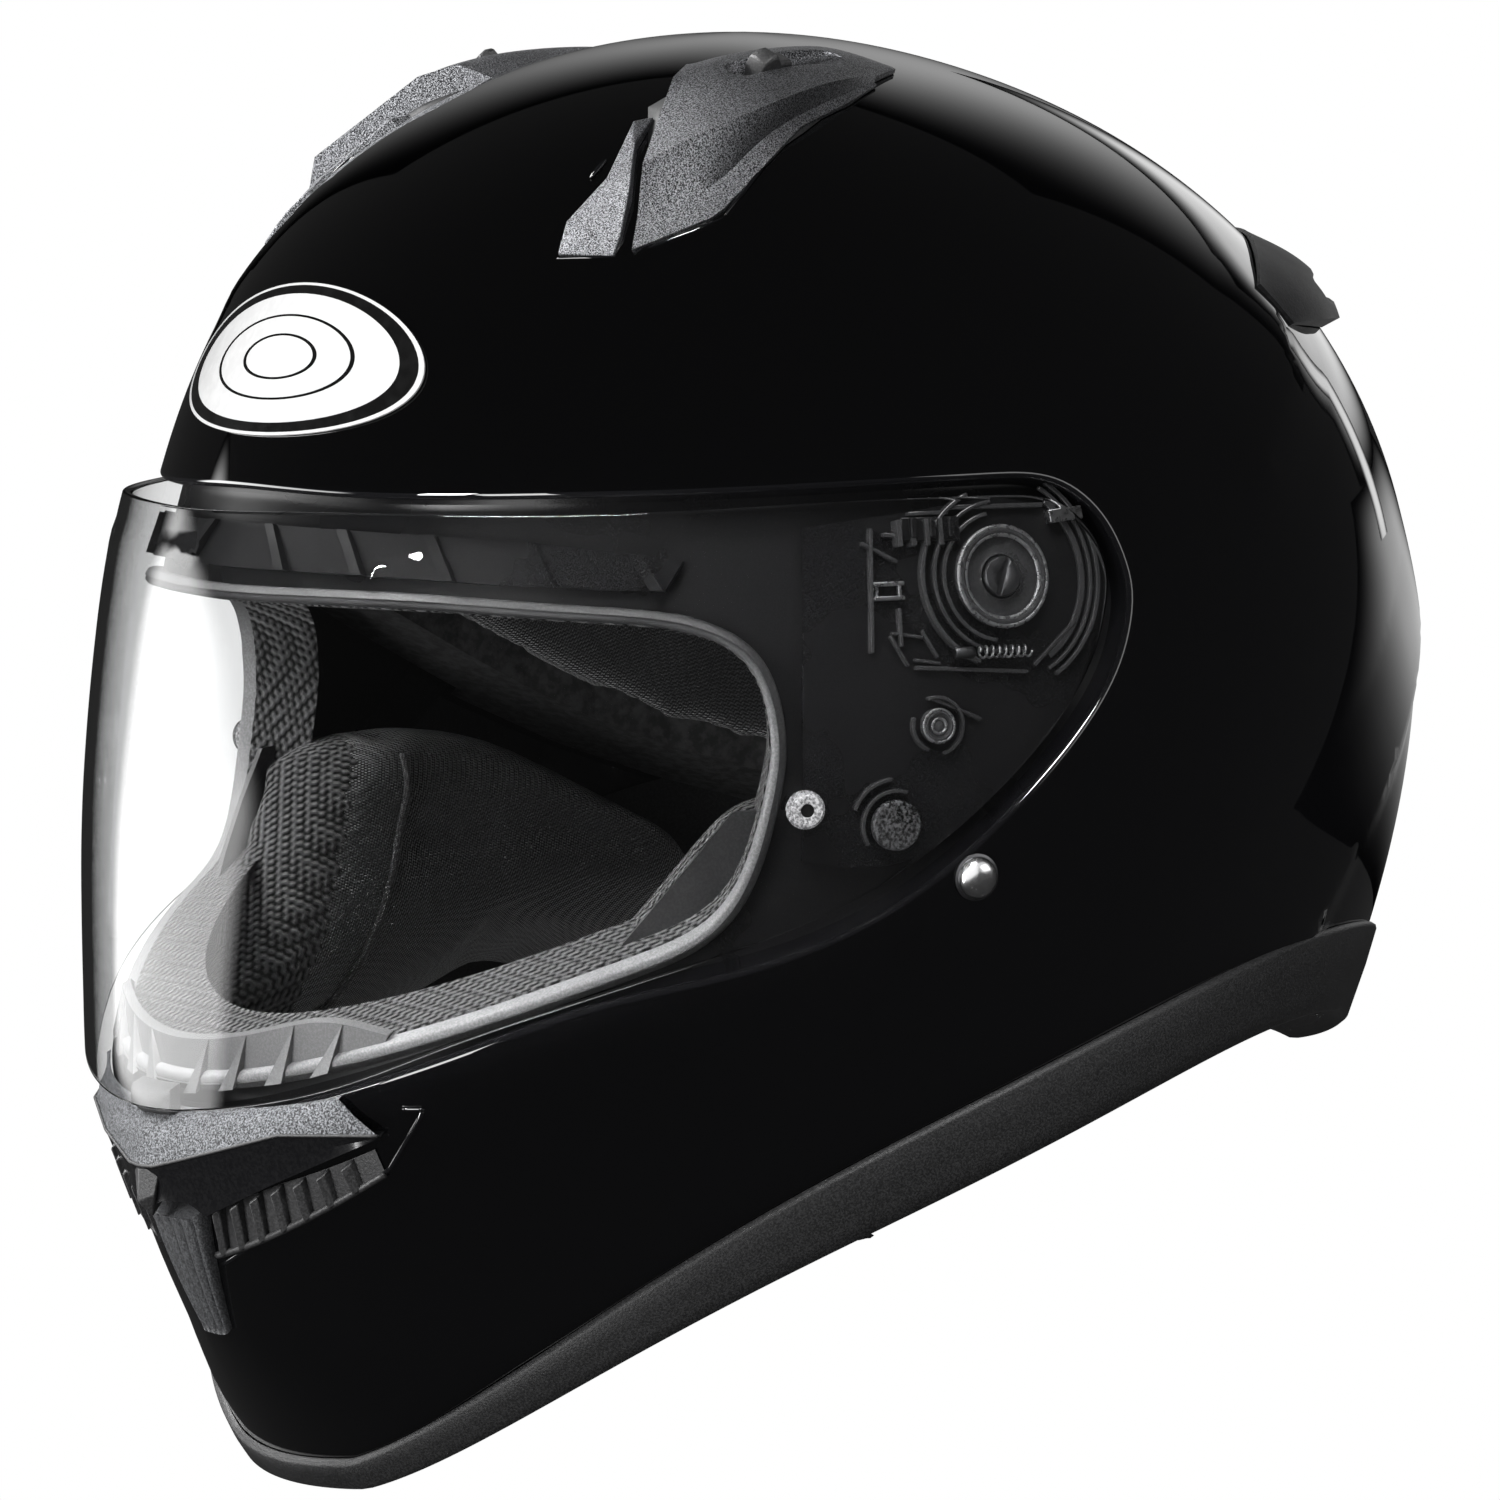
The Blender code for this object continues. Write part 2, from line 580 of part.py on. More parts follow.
def make_bottom_trim():
    """Channel-shaped strip round the bottom rim."""
    turn = np.linspace(0, 2 * math.pi, SHELL_COLUMNS, endpoint=False)
    leg = cosine_series(TRIM_LEG)(turn)
    stations = [(leg, FLOOR_GAP), (leg, FLOOR_GAP + TRIM_WALL), (leg * 0.5, FLOOR_GAP + TRIM_WALL), (0.0, TRIM_WALL),
                (0.0, -SHELL_WALL - FLOOR_GAP - TRIM_WALL + 0.2), (6.0, -SHELL_WALL - FLOOR_GAP - TRIM_WALL),
                (6.0, -SHELL_WALL - FLOOR_GAP), (RIM_LIFT - 0.6, -SHELL_WALL - FLOOR_GAP),
                (RIM_LIFT - 0.6, FLOOR_GAP)]
    rings = [SHELL.at(turn, rim_drop(turn, lift), depth) for lift, depth in stations]
    grid = np.stack(rings + rings[:1])
    verts, faces = tidy_faces(grid.reshape(-1, 3), quads(len(grid), len(turn), 0, True))
    trim = add_object("bottom_trim", verts, faces, "grain")
    level = rest(verts)[:, 2].min() + FOOT_CUT
    corners = [(x, y, z) for z in (level - 20, level) for x, y in ((-200, -250), (200, -250), (200, 250), (-200, 250))]
    ground = [(0, 1, 2, 3), (7, 6, 5, 4), (0, 4, 5, 1), (1, 5, 6, 2), (2, 6, 7, 3), (3, 7, 4, 0)]
    cut(trim, "guide_flat_feet", unrest(corners), ground)


def make_port_gasket():
    """Rubber bead round the eye port, standing on the recess floor."""
    upper, lower = lens(PORT_TOP, PORT_LOW, 33, 0.6)
    loop = np.concatenate([upper, lower[-2:0:-1]])
    upper, lower = lens(PORT_TOP, PORT_LOW, 33, 3.6)
    wide = np.concatenate([upper, lower[-2:0:-1]])
    floor = -RECESS_DEPTH + FLOOR_GAP
    rings = [SHELL.project(loop, floor), SHELL.project(wide, floor), SHELL.project(wide, floor + 2.6),
             SHELL.project(0.5 * (loop + wide), floor + 3.6), SHELL.project(loop, floor + 3.0)]
    grid = np.stack(rings + rings[:1])
    verts, faces = tidy_faces(grid.reshape(-1, 3), quads(len(grid), len(loop), 0, True))
    add_object("port_gasket", verts, faces, "rubber")


BROW_TOP = [(0, -108, 8), (45, -102, 8), (80, -84, 7), (98, -64, 4)]
BROW_LOW = [(0, -111, -1), (45, -103, -1), (80, -84, -2), (96, -67, -2.5)]
FIN_TOP = [(0, -128, -110.2), (25, -124, -108.2), (43, -116, -104.6)]
FIN_LOW = [(0, -129, -113.2), (25, -125, -110.4), (43, -117, -106)]


def make_port_trims():
    """Vent strips above and below the eye port, under the visor."""
    floor = -RECESS_DEPTH + FLOOR_GAP
    brow = band(SHELL, resample(mirrored(BROW_TOP), 21), resample(mirrored(BROW_LOW), 21), 3, floor + 2.4, floor)
    add_object("brow_vent_strip", *brow, "matte")
    chin = band(SHELL, resample(mirrored(FIN_TOP), 17), resample(mirrored(FIN_LOW), 17), 3, floor + 2.4, floor)
    add_object("chin_vent_strip", *chin, "matte")


# ---------------------------------------------------------------- visor group

def make_visor():
    """Clear visor with its origin on the hinge axis."""
    sheet = band(VISOR, *lens(VISOR_TOP, VISOR_LOW, 37), 10, 0.0, -VISOR_WALL)
    add_object("visor", *sheet, "clear", (0, 0, 0))
    tab = block(VISOR, (0, -135, -108), (11, 4.5, 2.2), 0.0, -VISOR_WALL - 3.4)
    add_object("visor_tab", *tab, "matte", (0, 0, 0))
    profile = [(4.0, -VISOR_WALL - FIT_GAP), (4.0, -VISOR_WALL - 1.2), (2.6, -VISOR_WALL - 2.2)]
    add_pair("fog_insert_pin", *turned(VISOR, (115, -45, -46), profile, 16), "clear", (0, 0, 0))


PLATE_TOP = [(113, -44, 12), (117, -14, 15), (119, 8, 15.5), (119.5, 20, 8), (121, 26, -3)]
PLATE_LOW = [(112, -44, -58), (118, -22, -58), (122, -4, -46), (123, 12, -30), (122, 22, -14), (121, 26, -3)]
HUB_RADIUS = 10.5
HUB_TOP = -1.2
LEVER_AT = (117.0, -15.5, 10.0)
SPRING_AT = (121.0, 0.0, -15.5)
SPRING_COILS = 6
SPRING_RADIUS = 1.1
SNAP_AT = (119.0, -16.0, -30.0)
PAD_AT = (118.0, -25.0, -50.0)


def make_pivot():
    """Base plates, hubs and screws that carry the visor."""
    floor = -RECESS_DEPTH + FLOOR_GAP
    plate = band(SHELL, resample(PLATE_TOP, 13), resample(PLATE_LOW, 13), 6, floor + 1.8, floor)
    for side, obj in zip((1, -1), add_pair("base_plate", *plate, "matte")):
        bore = turned(SHELL, PIVOT * np.array([side, 1, 1]), [(SCREW_HOLE, -14), (SCREW_HOLE, 6)], 14)
        cut(obj, "guide_plate_bore_" + ("left" if side > 0 else "right"), *bore)
    ring = [(HUB_RADIUS, -2.9), (HUB_RADIUS, -1.9), (HUB_RADIUS - 1.2, HUB_TOP), (HUB_RADIUS - 3, HUB_TOP),
            (HUB_RADIUS - 3.4, -2.0), (4.6, -2.0), (4.6, -2.9), (HUB_RADIUS, -2.9)]
    at, side, up, out = frame_at(SHELL, PIVOT)
    angle = np.linspace(0, 2 * math.pi, 28, endpoint=False)
    circle = np.cos(angle)[:, None] * side + np.sin(angle)[:, None] * up
    grid = np.stack([at + r * circle + h * out for r, h in ring])
    verts, faces = tidy_faces(grid.reshape(-1, 3), quads(len(ring), 28, 0, True))
    add_pair("pivot_hub", verts, faces, "matte")
    screw = [(2.0, -9.2), (2.0, -2.6), (4.2, -2.6), (4.2, -1.6), (3.8, HUB_TOP)]
    add_pair("pivot_screw", *turned(SHELL, PIVOT, screw, 20), "steel")


def make_release():
    """Visor release lever with its return spring and plunger, the fixing snap and the foam dot."""
    top = -RECESS_DEPTH + FLOOR_GAP + 1.8 + FIT_GAP
    lever = block(SHELL, LEVER_AT, (13, 5, 2.6), 0.0, top)
    add_pair("release_lever", *lever, "matte")
    at, side, up, out = frame_at(SHELL, SPRING_AT)
    centre = at + out * (top + 1.7)
    steps = np.linspace(0, 1, 6 * SPRING_COILS + 1)[:, None]
    angle = steps * 2 * math.pi * SPRING_COILS
    coil = SPRING_RADIUS * (np.cos(angle) * out + np.sin(angle) * up)
    helix = centre + coil + side * (12 * steps - 7)
    add_pair("lever_spring", *tube(helix, 0.35, 4), "steel")
    rod = [centre - side * 12.5, centre - side * 8.0]
    add_pair("lever_plunger", *tube(rod, 1.2, 12), "steel")
    snap = [(3.6, top), (3.6, top + 1.6), (2.6, top + 2.2)]
    add_pair("plate_snap", *turned(SHELL, SNAP_AT, snap, 18), "clear")
    dot = [(5.2, top), (5.2, top + 1.5), (4.8, top + 1.9)]
    add_pair("visor_stop_pad", *turned(SHELL, PAD_AT, dot, 18), "rubber")


# ---------------------------------------------------------------- vents

COVER_INNER = [(37, -25.5, 101), (36.5, -16, 103.5), (34.5, 0, 106), (33.5, 16, 106.5), (41, 26, 104)]
COVER_OUTER = [(70.5, -60, 66), (76, -44, 72), (71, -24, 85), (60, 5, 96.5), (50, 20, 101), (41, 26, 104)]
SCOOP_INNER = [(60, -70.5, 66), (55, -64, 74), (51.5, -52, 84.5), (45, -42, 93), (37, -28, 100.5)]
SCOOP_OUTER = [(60, -70.5, 66), (64, -67.5, 66), (67, -64.5, 66), (69.5, -62.5, 65.5)]
COVER_HEIGHT = 7.0
SCOOP_HEIGHT = 3.5
SLIDER_AT = (52.0, -14.0, 96.0)
SLIDER_TRAVEL = 10.0


def slider_frame():
    """Middle of the slider at rest, with its travel, cross and outward directions."""
    at = SHELL.project(np.array(SLIDER_AT))
    out = SHELL.normal(at)
    along = np.array([-0.16, 1.0, 0.0])
    along -= out * (along @ out)
    along /= np.linalg.norm(along)
    return at, along, np.cross(out, along), out


def stadium(at, along, across, out, half_length, radius, low, high, shift=0.0, segments=9):
    """Flat piece with rounded ends standing on a point."""
    angle = np.linspace(-math.pi / 2, math.pi / 2, segments)
    ends = [(half_length + radius * math.cos(a), radius * math.sin(a)) for a in angle]
    loop = ends + [(-x, -y) for x, y in ends]
    verts = [at + (x + shift) * along + y * across + h * out for h in (low, high) for x, y in loop]
    count = len(loop)
    faces = quads(2, count, 0, True) + [tuple(range(count)), tuple(range(2 * count - 1, count - 1, -1))]
    return np.array(verts), faces


def make_forehead_vents():
    """Forehead vents: scoop at the front, cover behind it, slider in the cover's slot."""
    grid = between(resample(COVER_INNER, 15), resample(COVER_OUTER, 15), 7)
    bulge = np.sqrt(pillow(7, 15, 3))
    cover = slab(SHELL.project(grid, 1.2 + COVER_HEIGHT * bulge), SHELL.project(grid, FIT_GAP))
    covers = add_pair("forehead_vent_cover", *cover, "grain")
    at, along, across, out = slider_frame()
    flip = np.array([-1, 1, 1])
    for obj, label, m in zip(covers, ("left", "right"), (1, flip)):
        slot = stadium(at, along, across, out, 11.0, 4.2, -2.0, 16.0, SLIDER_TRAVEL / 2)
        cut(obj, "guide_slider_slot_" + label, slot[0] * m, slot[1])
    slider = stadium(at, along, across, out, 4.5, 3.4, 1.2, COVER_HEIGHT + 2.6)
    add_pair("vent_slider", *slider, "matte", at)
    grid = between(resample(SCOOP_INNER, 11), resample(SCOOP_OUTER, 11), 5)
    scoop = slab(SHELL.project(grid, 1.0 + SCOOP_HEIGHT * pillow(5, 11, 3)), SHELL.project(grid, FIT_GAP))
    add_pair("forehead_vent_scoop", *scoop, "matte")


CHIN_TOP = [(0, -134, -116.5), (25, -128, -115), (45, -117, -113.5), (56, -110, -112.5)]
CHIN_LOW = [(0, -136, -126), (14, -129, -129), (32, -122, -125), (47, -114.5, -120.5), (57, -109, -114.5)]
GRILLE_TOP = [(13, -127, -131), (32, -121, -127), (48, -113, -122.5), (58, -107, -118)]
GRILLE_LOW = [(15, -122, -140), (32, -118, -135), (47, -111, -129), (57, -106, -123)]
FLUTE_TOP = [(-11, -127, -131), (0, -128, -129), (11, -127, -131)]
FLUTE_LOW = [(-4, -116, -160), (0, -116, -161), (4, -116, -160)]


def make_chin_vent():
    """Chin vent: cover band, slatted grilles on both sides and the fluted nose in the middle."""
    grid = between(resample(mirrored(CHIN_TOP), 21), resample(mirrored(CHIN_LOW), 21), 6)
    beak = 3.0 + 3.5 * np.exp(-np.linspace(-1, 1, 21) ** 2 * 9)[None, :] * np.linspace(0.3, 1, 6)[:, None]
    add_object("chin_vent_cover", *slab(SHELL.project(grid, beak), SHELL.project(grid, FIT_GAP)), "grain")
    grille = band(SHELL, resample(GRILLE_TOP, 13), resample(GRILLE_LOW, 13), 3, 1.8, FIT_GAP)
    add_pair("chin_vent_grille", *grille, "matte")
    grid = between(resample(FLUTE_TOP, 9), resample(FLUTE_LOW, 9), 6)
    height = 1.2 + 4.0 * pillow(6, 9, 2)
    add_object("chin_vent_nose", *slab(SHELL.project(grid, height), SHELL.project(grid, FIT_GAP)), "matte")


REAR_TOP = [(0, 140, 78), (35, 132, 77), (65, 112, 71), (84, 96, 60)]
REAR_LOW = [(0, 156, 52), (35, 146, 50), (62, 124, 47), (82, 100, 48)]


def make_rear_vent():
    """Exhaust cover across the upper back."""
    grid = between(resample(mirrored(REAR_TOP), 23), resample(mirrored(REAR_LOW), 23), 6)
    ends = (1 - np.abs(np.linspace(-1, 1, 23)) ** 4)[None, :]
    rise = 1.2 + 5.8 * np.sin(np.linspace(0, 0.72, 6) * math.pi)[:, None] ** 1.2 * ends
    add_object("rear_vent_cover", *slab(SHELL.project(grid, rise), SHELL.project(grid, FIT_GAP)), "matte")


BADGE_CENTRE = (0.0, -96.0, 40.0)
BADGE_HALF = (50.0, 17.5)


def make_badge():
    """Plain oval badge on the forehead."""
    angle = np.linspace(math.pi, 0, 25)[:, None]
    at, side, up, _ = frame_at(SHELL, BADGE_CENTRE)
    along = at + BADGE_HALF[0] * np.cos(angle) * side
    rise = BADGE_HALF[1] * np.sin(angle) * up
    upper = along + rise
    lower = along - rise
    add_object("front_badge", *band(SHELL, upper, lower, 5, 0.8, FIT_GAP), "print")


# ---------------------------------------------------------------- chin strap

STRAP_WIDTH = 24.0
STRAP_THICK = 1.6
STRAP_FRONT = -20.0
RING_BAR = (56.0, -139.0)
RING_LENGTH = 21.0
RING_WIRE = 1.9
RING_SPREAD = 2.0


def side_path():
    """Strap line from under the rivet down the inside of the shell, as (x, z) points."""
    line = []
    for z, depth in ((-74, -8.4), (-84, -8.4), (-98, -7.4), (-112, -7.2)):
        p = SHELL.project(np.array([118.0, STRAP_FRONT + STRAP_WIDTH / 2, z]), depth)
        line.append((p[0], p[2]))
    return line


def round_path(points, count):
    """Smooth (x, z) path with evenly spaced points."""
    pts = np.array([(x, 0.0, z) for x, z in points])
    return resample(pts, count)[:, [0, 2]]


def make_strap():
    """Fastened chin strap: two webbing straps, two D-rings, snap, rivets and anchor plates."""
    bar = np.array(RING_BAR)
    lead = side_path()
    hook = [tuple(bar + 4.2 * np.array([math.cos(a), math.sin(a)])) for a in np.radians([80, 130, 180, 230, 280])]
    inner = lead + [(98, -124), (78, -131.5)] + hook + [(67, -142.9)]
    add_object("strap_left", *strap_band(round_path(inner, 44), STRAP_WIDTH, STRAP_THICK, STRAP_FRONT), "webbing")
    far = bar - np.array([RING_LENGTH, 3.5])
    wrap = [tuple(far + 6.4 * np.array([math.cos(a), math.sin(a)])) for a in np.radians([250, 300, 350, 40, 85])]
    start = [(-x, z) for x, z in lead]
    outer = start + [(-96, -127), (-70, -140), (-35, -147.5), (0, -150)] + wrap + [(10, -137), (-14, -138)]
    add_object("strap_right", *strap_band(round_path(outer, 64), STRAP_WIDTH, STRAP_THICK, STRAP_FRONT), "webbing")
    middle = STRAP_FRONT + STRAP_WIDTH / 2
    for name, rise in (("strap_ring_upper", RING_SPREAD), ("strap_ring_lower", -RING_SPREAD)):
        half = STRAP_WIDTH / 2 + 5.0
        tip = far - bar
        loop = []
        for a in np.linspace(-math.pi / 2, math.pi / 2, 15):
            reach = 0.3 + 0.7 * math.cos(a)
            across = math.copysign(abs(math.sin(a)) ** 0.6, a)
            loop.append((bar[0] + tip[0] * reach, middle + half * across, bar[1] + tip[1] * reach + rise))
        loop.append((bar[0], middle + half, bar[1] + rise))
        loop.append((bar[0], middle - half, bar[1] + rise))
        add_object(name, *tube(loop, RING_WIRE / 2, 8, True), "chrome", (bar[0], middle, bar[1] + rise))


ANCHOR_DROP = 8.5


def make_strap_fixings():
    """Rivets through the shell, anchor plates inside it and the strap's snap."""
    rivet = [(2.0, -6.4), (2.0, 0.25), (4.3, 0.25), (4.1, 1.2), (3.2, 2.2), (1.8, 2.8), (0.6, 3.0)]
    add_pair("strap_rivet", *turned(SHELL, RIVET_AT, rivet, 20), "chrome")
    at, side, up, out = frame_at(SHELL, RIVET_AT)
    at, side, up, out = frame_at(SHELL, at - up * ANCHOR_DROP)
    plate = stadium(at, up, np.cross(out, up), out, 4.0, 8.0, -6.2, -4.8)
    plates = add_pair("strap_anchor", *plate, "steel")
    for obj, label, m in zip(plates, ("left", "right"), (1, -1)):
        hole = turned(SHELL, RIVET_AT * np.array([m, 1, 1]), [(RIVET_HOLE, -8), (RIVET_HOLE, 6)], 14)
        cut(obj, "guide_anchor_hole_" + label, *hole)


def settle():
    """Move everything so that the helmet stands on the ground with its bounding box centred."""
    bpy.context.view_layer.update()
    graph = bpy.context.evaluated_depsgraph_get()
    solid = [o.evaluated_get(graph) for o in bpy.data.objects if not o.hide_render]
    corners = np.array([o.location + v.co for o in solid for v in o.data.vertices])
    low = corners.min(0)
    high = corners.max(0)
    shift = Vector((-(low[0] + high[0]) / 2, -(low[1] + high[1]) / 2, -low[2]))
    for obj in bpy.data.objects:
        obj.location += shift


def main():
    for obj in list(bpy.data.objects):
        bpy.data.objects.remove(obj)
    make_shell()
    make_foam()
    make_crown_liner()
    make_cheeks()
    make_neck_roll()
    make_bottom_trim()
    make_port_gasket()
    make_port_trims()
    make_visor()
    make_pivot()
    make_release()
    make_forehead_vents()
    make_chin_vent()
    make_rear_vent()
    make_badge()
    make_strap()
    make_strap_fixings()
    settle()


main()
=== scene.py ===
"""Looks of the full-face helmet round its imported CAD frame, with its light, stage and camera."""
import json
import math

import bmesh
import bpy
import numpy as np
from mathutils import Matrix, Vector
from mathutils.geometry import delaunay_2d_cdt

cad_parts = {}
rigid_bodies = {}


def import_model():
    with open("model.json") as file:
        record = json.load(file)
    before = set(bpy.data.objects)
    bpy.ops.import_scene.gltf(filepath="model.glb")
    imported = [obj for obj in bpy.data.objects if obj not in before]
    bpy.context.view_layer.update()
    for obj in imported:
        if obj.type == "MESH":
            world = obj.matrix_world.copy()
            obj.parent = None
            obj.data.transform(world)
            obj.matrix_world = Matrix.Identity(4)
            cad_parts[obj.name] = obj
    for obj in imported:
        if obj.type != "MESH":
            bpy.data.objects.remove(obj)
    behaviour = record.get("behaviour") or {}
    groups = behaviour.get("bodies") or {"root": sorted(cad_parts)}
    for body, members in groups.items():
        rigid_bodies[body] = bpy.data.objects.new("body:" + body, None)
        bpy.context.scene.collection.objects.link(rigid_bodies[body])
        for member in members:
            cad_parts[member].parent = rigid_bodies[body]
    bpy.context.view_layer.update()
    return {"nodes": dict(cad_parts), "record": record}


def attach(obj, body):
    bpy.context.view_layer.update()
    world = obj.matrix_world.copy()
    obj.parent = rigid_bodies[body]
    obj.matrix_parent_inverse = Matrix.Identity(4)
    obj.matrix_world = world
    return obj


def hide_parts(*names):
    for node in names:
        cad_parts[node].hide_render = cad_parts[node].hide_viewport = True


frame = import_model()

MM = 0.001
TILT = math.radians(18.5)
HINGE = next(j for j in frame["record"]["behaviour"]["joints"] if j["name"] == "visor_hinge")
PIVOT_WORLD = np.array(HINGE["pos_m"], float)

CENTRE = np.array([0.0, 15.0, -20.0])
CROWN = 111.5
# profiles from the crown down, as (distance from the middle, height) in millimetres about the hinge axis
SHELL_FRONT = [(38, 107), (75, 91), (103, 66), (118.5, 39), (128, 12), (137, -25), (143, -62), (145, -98),
               (141, -133), (131, -163), (114, -194), (100, -215)]
SHELL_SIDE = [(42, 104), (76, 86), (101, 58), (115, 28), (121.5, 0), (124.5, -30), (124, -60), (120.5, -90),
              (115, -120), (108, -150), (98, -185)]
SHELL_REAR = [(44, 105), (87, 86.5), (121, 59), (145, 22), (154, -14), (153, -46), (145, -80), (133, -112),
              (121, -145), (104, -185)]
# swelling between the profiles, as (degrees from the crown, share of the radius)
FRONT_SHOULDER = [(0, 0), (30, 0.012), (60, 0.026), (80, 0.026), (100, 0.012), (120, -0.006), (145, -0.02),
                  (160, -0.02)]
REAR_SHOULDER = [(0, 0), (30, 0), (60, 0.015), (80, 0.02), (100, 0.01), (120, 0), (160, 0)]
VISOR_FRONT = [(38, 107), (78, 94), (111, 66), (126, 39), (136.5, 12), (144, -25), (148.5, -62), (150, -98),
               (147, -133), (131, -163), (114, -194), (100, -215)]
VISOR_SIDE_PROUD = 3.2

# points along an upper or lower edge
WINDOW_COLUMNS = 241
VISOR_COLUMNS = 281
PORT_COLUMNS = 161

SHELL_WALL = 3.5
RECESS = 5.5
VISOR_WALL = 2.2
RIM_LIFT = 3.0
# height of the rim every 45 degrees from the front to the rear, and the lowest it may reach
RIM_HEIGHTS = [-156, -132, -117, -127, -156]
RIM_FLOOR = -153.5

# upper and lower edges from the middle of the front to where they meet, as (x, y, z) in worn millimetres
WINDOW_TOP = [(0, -106, 14.5), (40, -104, 15), (81, -82, 16.5), (99, -60, 17.5), (112, -30, 19), (117, 1, 20),
              (118.5, 16, 18.5), (119.5, 26, 10), (121, 31, -4)]
WINDOW_LOW = [(0, -129, -116), (24, -126, -113), (47, -118, -107), (66, -105, -99), (92, -80, -86.5),
              (108, -52, -78.5), (118, -29, -69), (122, -10, -56), (124, 6, -42), (124.5, 18, -30),
              (123, 28, -15), (121, 31, -4)]
VISOR_TOP = [(0, -121, 12), (33, -116, 12.5), (86, -86, 13.5), (103, -63, 14.5), (115, -32, 16),
             (120, -1, 16.5),
             (121.5, 14, 14.5), (123, 21, 8), (124.5, 24, -1)]
VISOR_LOW = [(0, -135, -113.5), (34, -129, -110), (52, -120.6, -105.4), (72, -106, -96), (90, -88, -87),
             (110, -58, -75), (119, -37, -66), (127, -5, -43.5), (127.6, 9, -30), (126, 20, -14), (124.5,
                                                                                                   24, -1)]
PORT_TOP = [(0, -112, -8), (60, -95, -8), (85, -80, -9), (99, -66, -10.5), (106, -55, -16), (109.5, -50, -36)]
PORT_LOW = [(0, -125, -104), (40, -118, -100), (75, -95, -88), (95, -74, -78), (104, -60, -69),
            (108, -54, -55),
            (109.5, -50, -36)]


# ---------------------------------------------------------------- surfaces

def spline(knots, values):
    """Natural cubic spline through the knots."""
    x = np.array(knots, float)
    y = np.array(values, float)
    h = np.diff(x)
    n = len(x)
    system = np.eye(n)
    right = np.zeros(n)
    for i in range(1, n - 1):
        system[i, i - 1:i + 2] = h[i - 1], 2 * (h[i - 1] + h[i]), h[i]
        right[i] = 6 * ((y[i + 1] - y[i]) / h[i] - (y[i] - y[i - 1]) / h[i - 1])
    bend = np.linalg.solve(system, right)

    def value(at):
        at = np.asarray(at, float)
        i = np.clip(np.searchsorted(x, at) - 1, 0, n - 2)
        a = x[i + 1] - at
        b = at - x[i]
        d = h[i]
        curve = (bend[i] * a ** 3 + bend[i + 1] * b ** 3) / (6 * d)
        return curve + (y[i] / d - bend[i] * d / 6) * a + (y[i + 1] / d - bend[i + 1] * d / 6) * b

    return value


def meridian(profile):
    """Distance from the centre as a function of the angle down from the crown."""
    pts = np.array([(-profile[0][0], profile[0][1]), (0, CROWN)] + list(profile), float)
    pts[:, 1] -= CENTRE[2]
    return spline(np.arctan2(pts[:, 0], pts[:, 1]), np.hypot(pts[:, 0], pts[:, 1]))


class Surface:
    """Closed rounded surface: front, side and rear profiles blended round the vertical axis."""

    def __init__(self, front, side, rear):
        self.profiles = [meridian(p) for p in (front, side, rear)]
        self.shoulders = [spline(np.radians([k for k, _ in s]), [v for _, v in s])
                          for s in (FRONT_SHOULDER, REAR_SHOULDER)]
        stations = np.radians([0, 45, 90, 135, 180])
        self.fit = np.linalg.inv(np.array([[math.cos(k * a) for k in range(5)] for a in stations]))

    def radius(self, turn, drop):
        front, side, rear = [1 / p(drop) ** 2 for p in self.profiles]
        near = 0.5 * (front + side) / (1 + self.shoulders[0](drop)) ** 2
        far = 0.5 * (side + rear) / (1 + self.shoulders[1](drop)) ** 2
        waves = np.stack(np.broadcast_arrays(front, near, side, far, rear), -1) @ self.fit.T
        return 1 / np.sqrt(sum(waves[..., k] * np.cos(k * turn) for k in range(5)))

    def at(self, turn, drop, depth=0.0):
        """Point at an azimuth and an angle down from the crown, depth measured square to the surface."""
        turn, drop = np.broadcast_arrays(turn, drop)
        r = self.radius(turn, drop)
        step = 1e-3
        slope_d = (self.radius(turn, drop + step) - self.radius(turn, np.abs(drop - step))) / (2 * step)
        slope_t = (self.radius(turn + step, drop) - self.radius(turn - step, drop)) / (2 * step)
        lean = np.sqrt(1 + (slope_d / r) ** 2 + (slope_t / (r * np.maximum(np.sin(drop), 0.05))) ** 2)
        r = r + np.asarray(depth) * lean
        out = [r * np.sin(drop) * np.sin(turn), -r * np.sin(drop) * np.cos(turn), r * np.cos(drop)]
        return np.stack(out, -1) + CENTRE

    def angles(self, pts):
        q = np.asarray(pts, float) - CENTRE
        return np.arctan2(q[..., 0], -q[..., 1]), np.arccos(q[..., 2] / np.linalg.norm(q, axis=-1))

    def project(self, pts, depth=0.0):
        """Nearby points moved along the line from the centre onto the surface."""
        return self.at(*self.angles(pts), depth)

    def normal(self, pt):
        """Outward direction at a point."""
        turn, drop = self.angles(pt)
        step = 1e-3
        along = self.at(turn + step, drop) - self.at(turn - step, drop)
        down = self.at(turn, drop + step) - self.at(turn, drop - step)
        n = np.cross(down, along)
        return n / np.linalg.norm(n, axis=-1, keepdims=True)

    def drop_at(self, turn, height):
        """Angle down from the crown at which the surface passes a height, found by halving."""
        turn = np.asarray(turn, float)
        a = np.full(turn.shape, 0.6)
        b = np.full(turn.shape, 2.75)
        for _ in range(30):
            mid = 0.5 * (a + b)
            above = height(self.at(turn, mid)) > 0
            a = np.where(above, mid, a)
            b = np.where(above, b, mid)
        return 0.5 * (a + b)


SHELL = Surface(SHELL_FRONT, SHELL_SIDE, SHELL_REAR)
VISOR = Surface(VISOR_FRONT, [(a + VISOR_SIDE_PROUD, b) for a, b in SHELL_SIDE], SHELL_REAR)


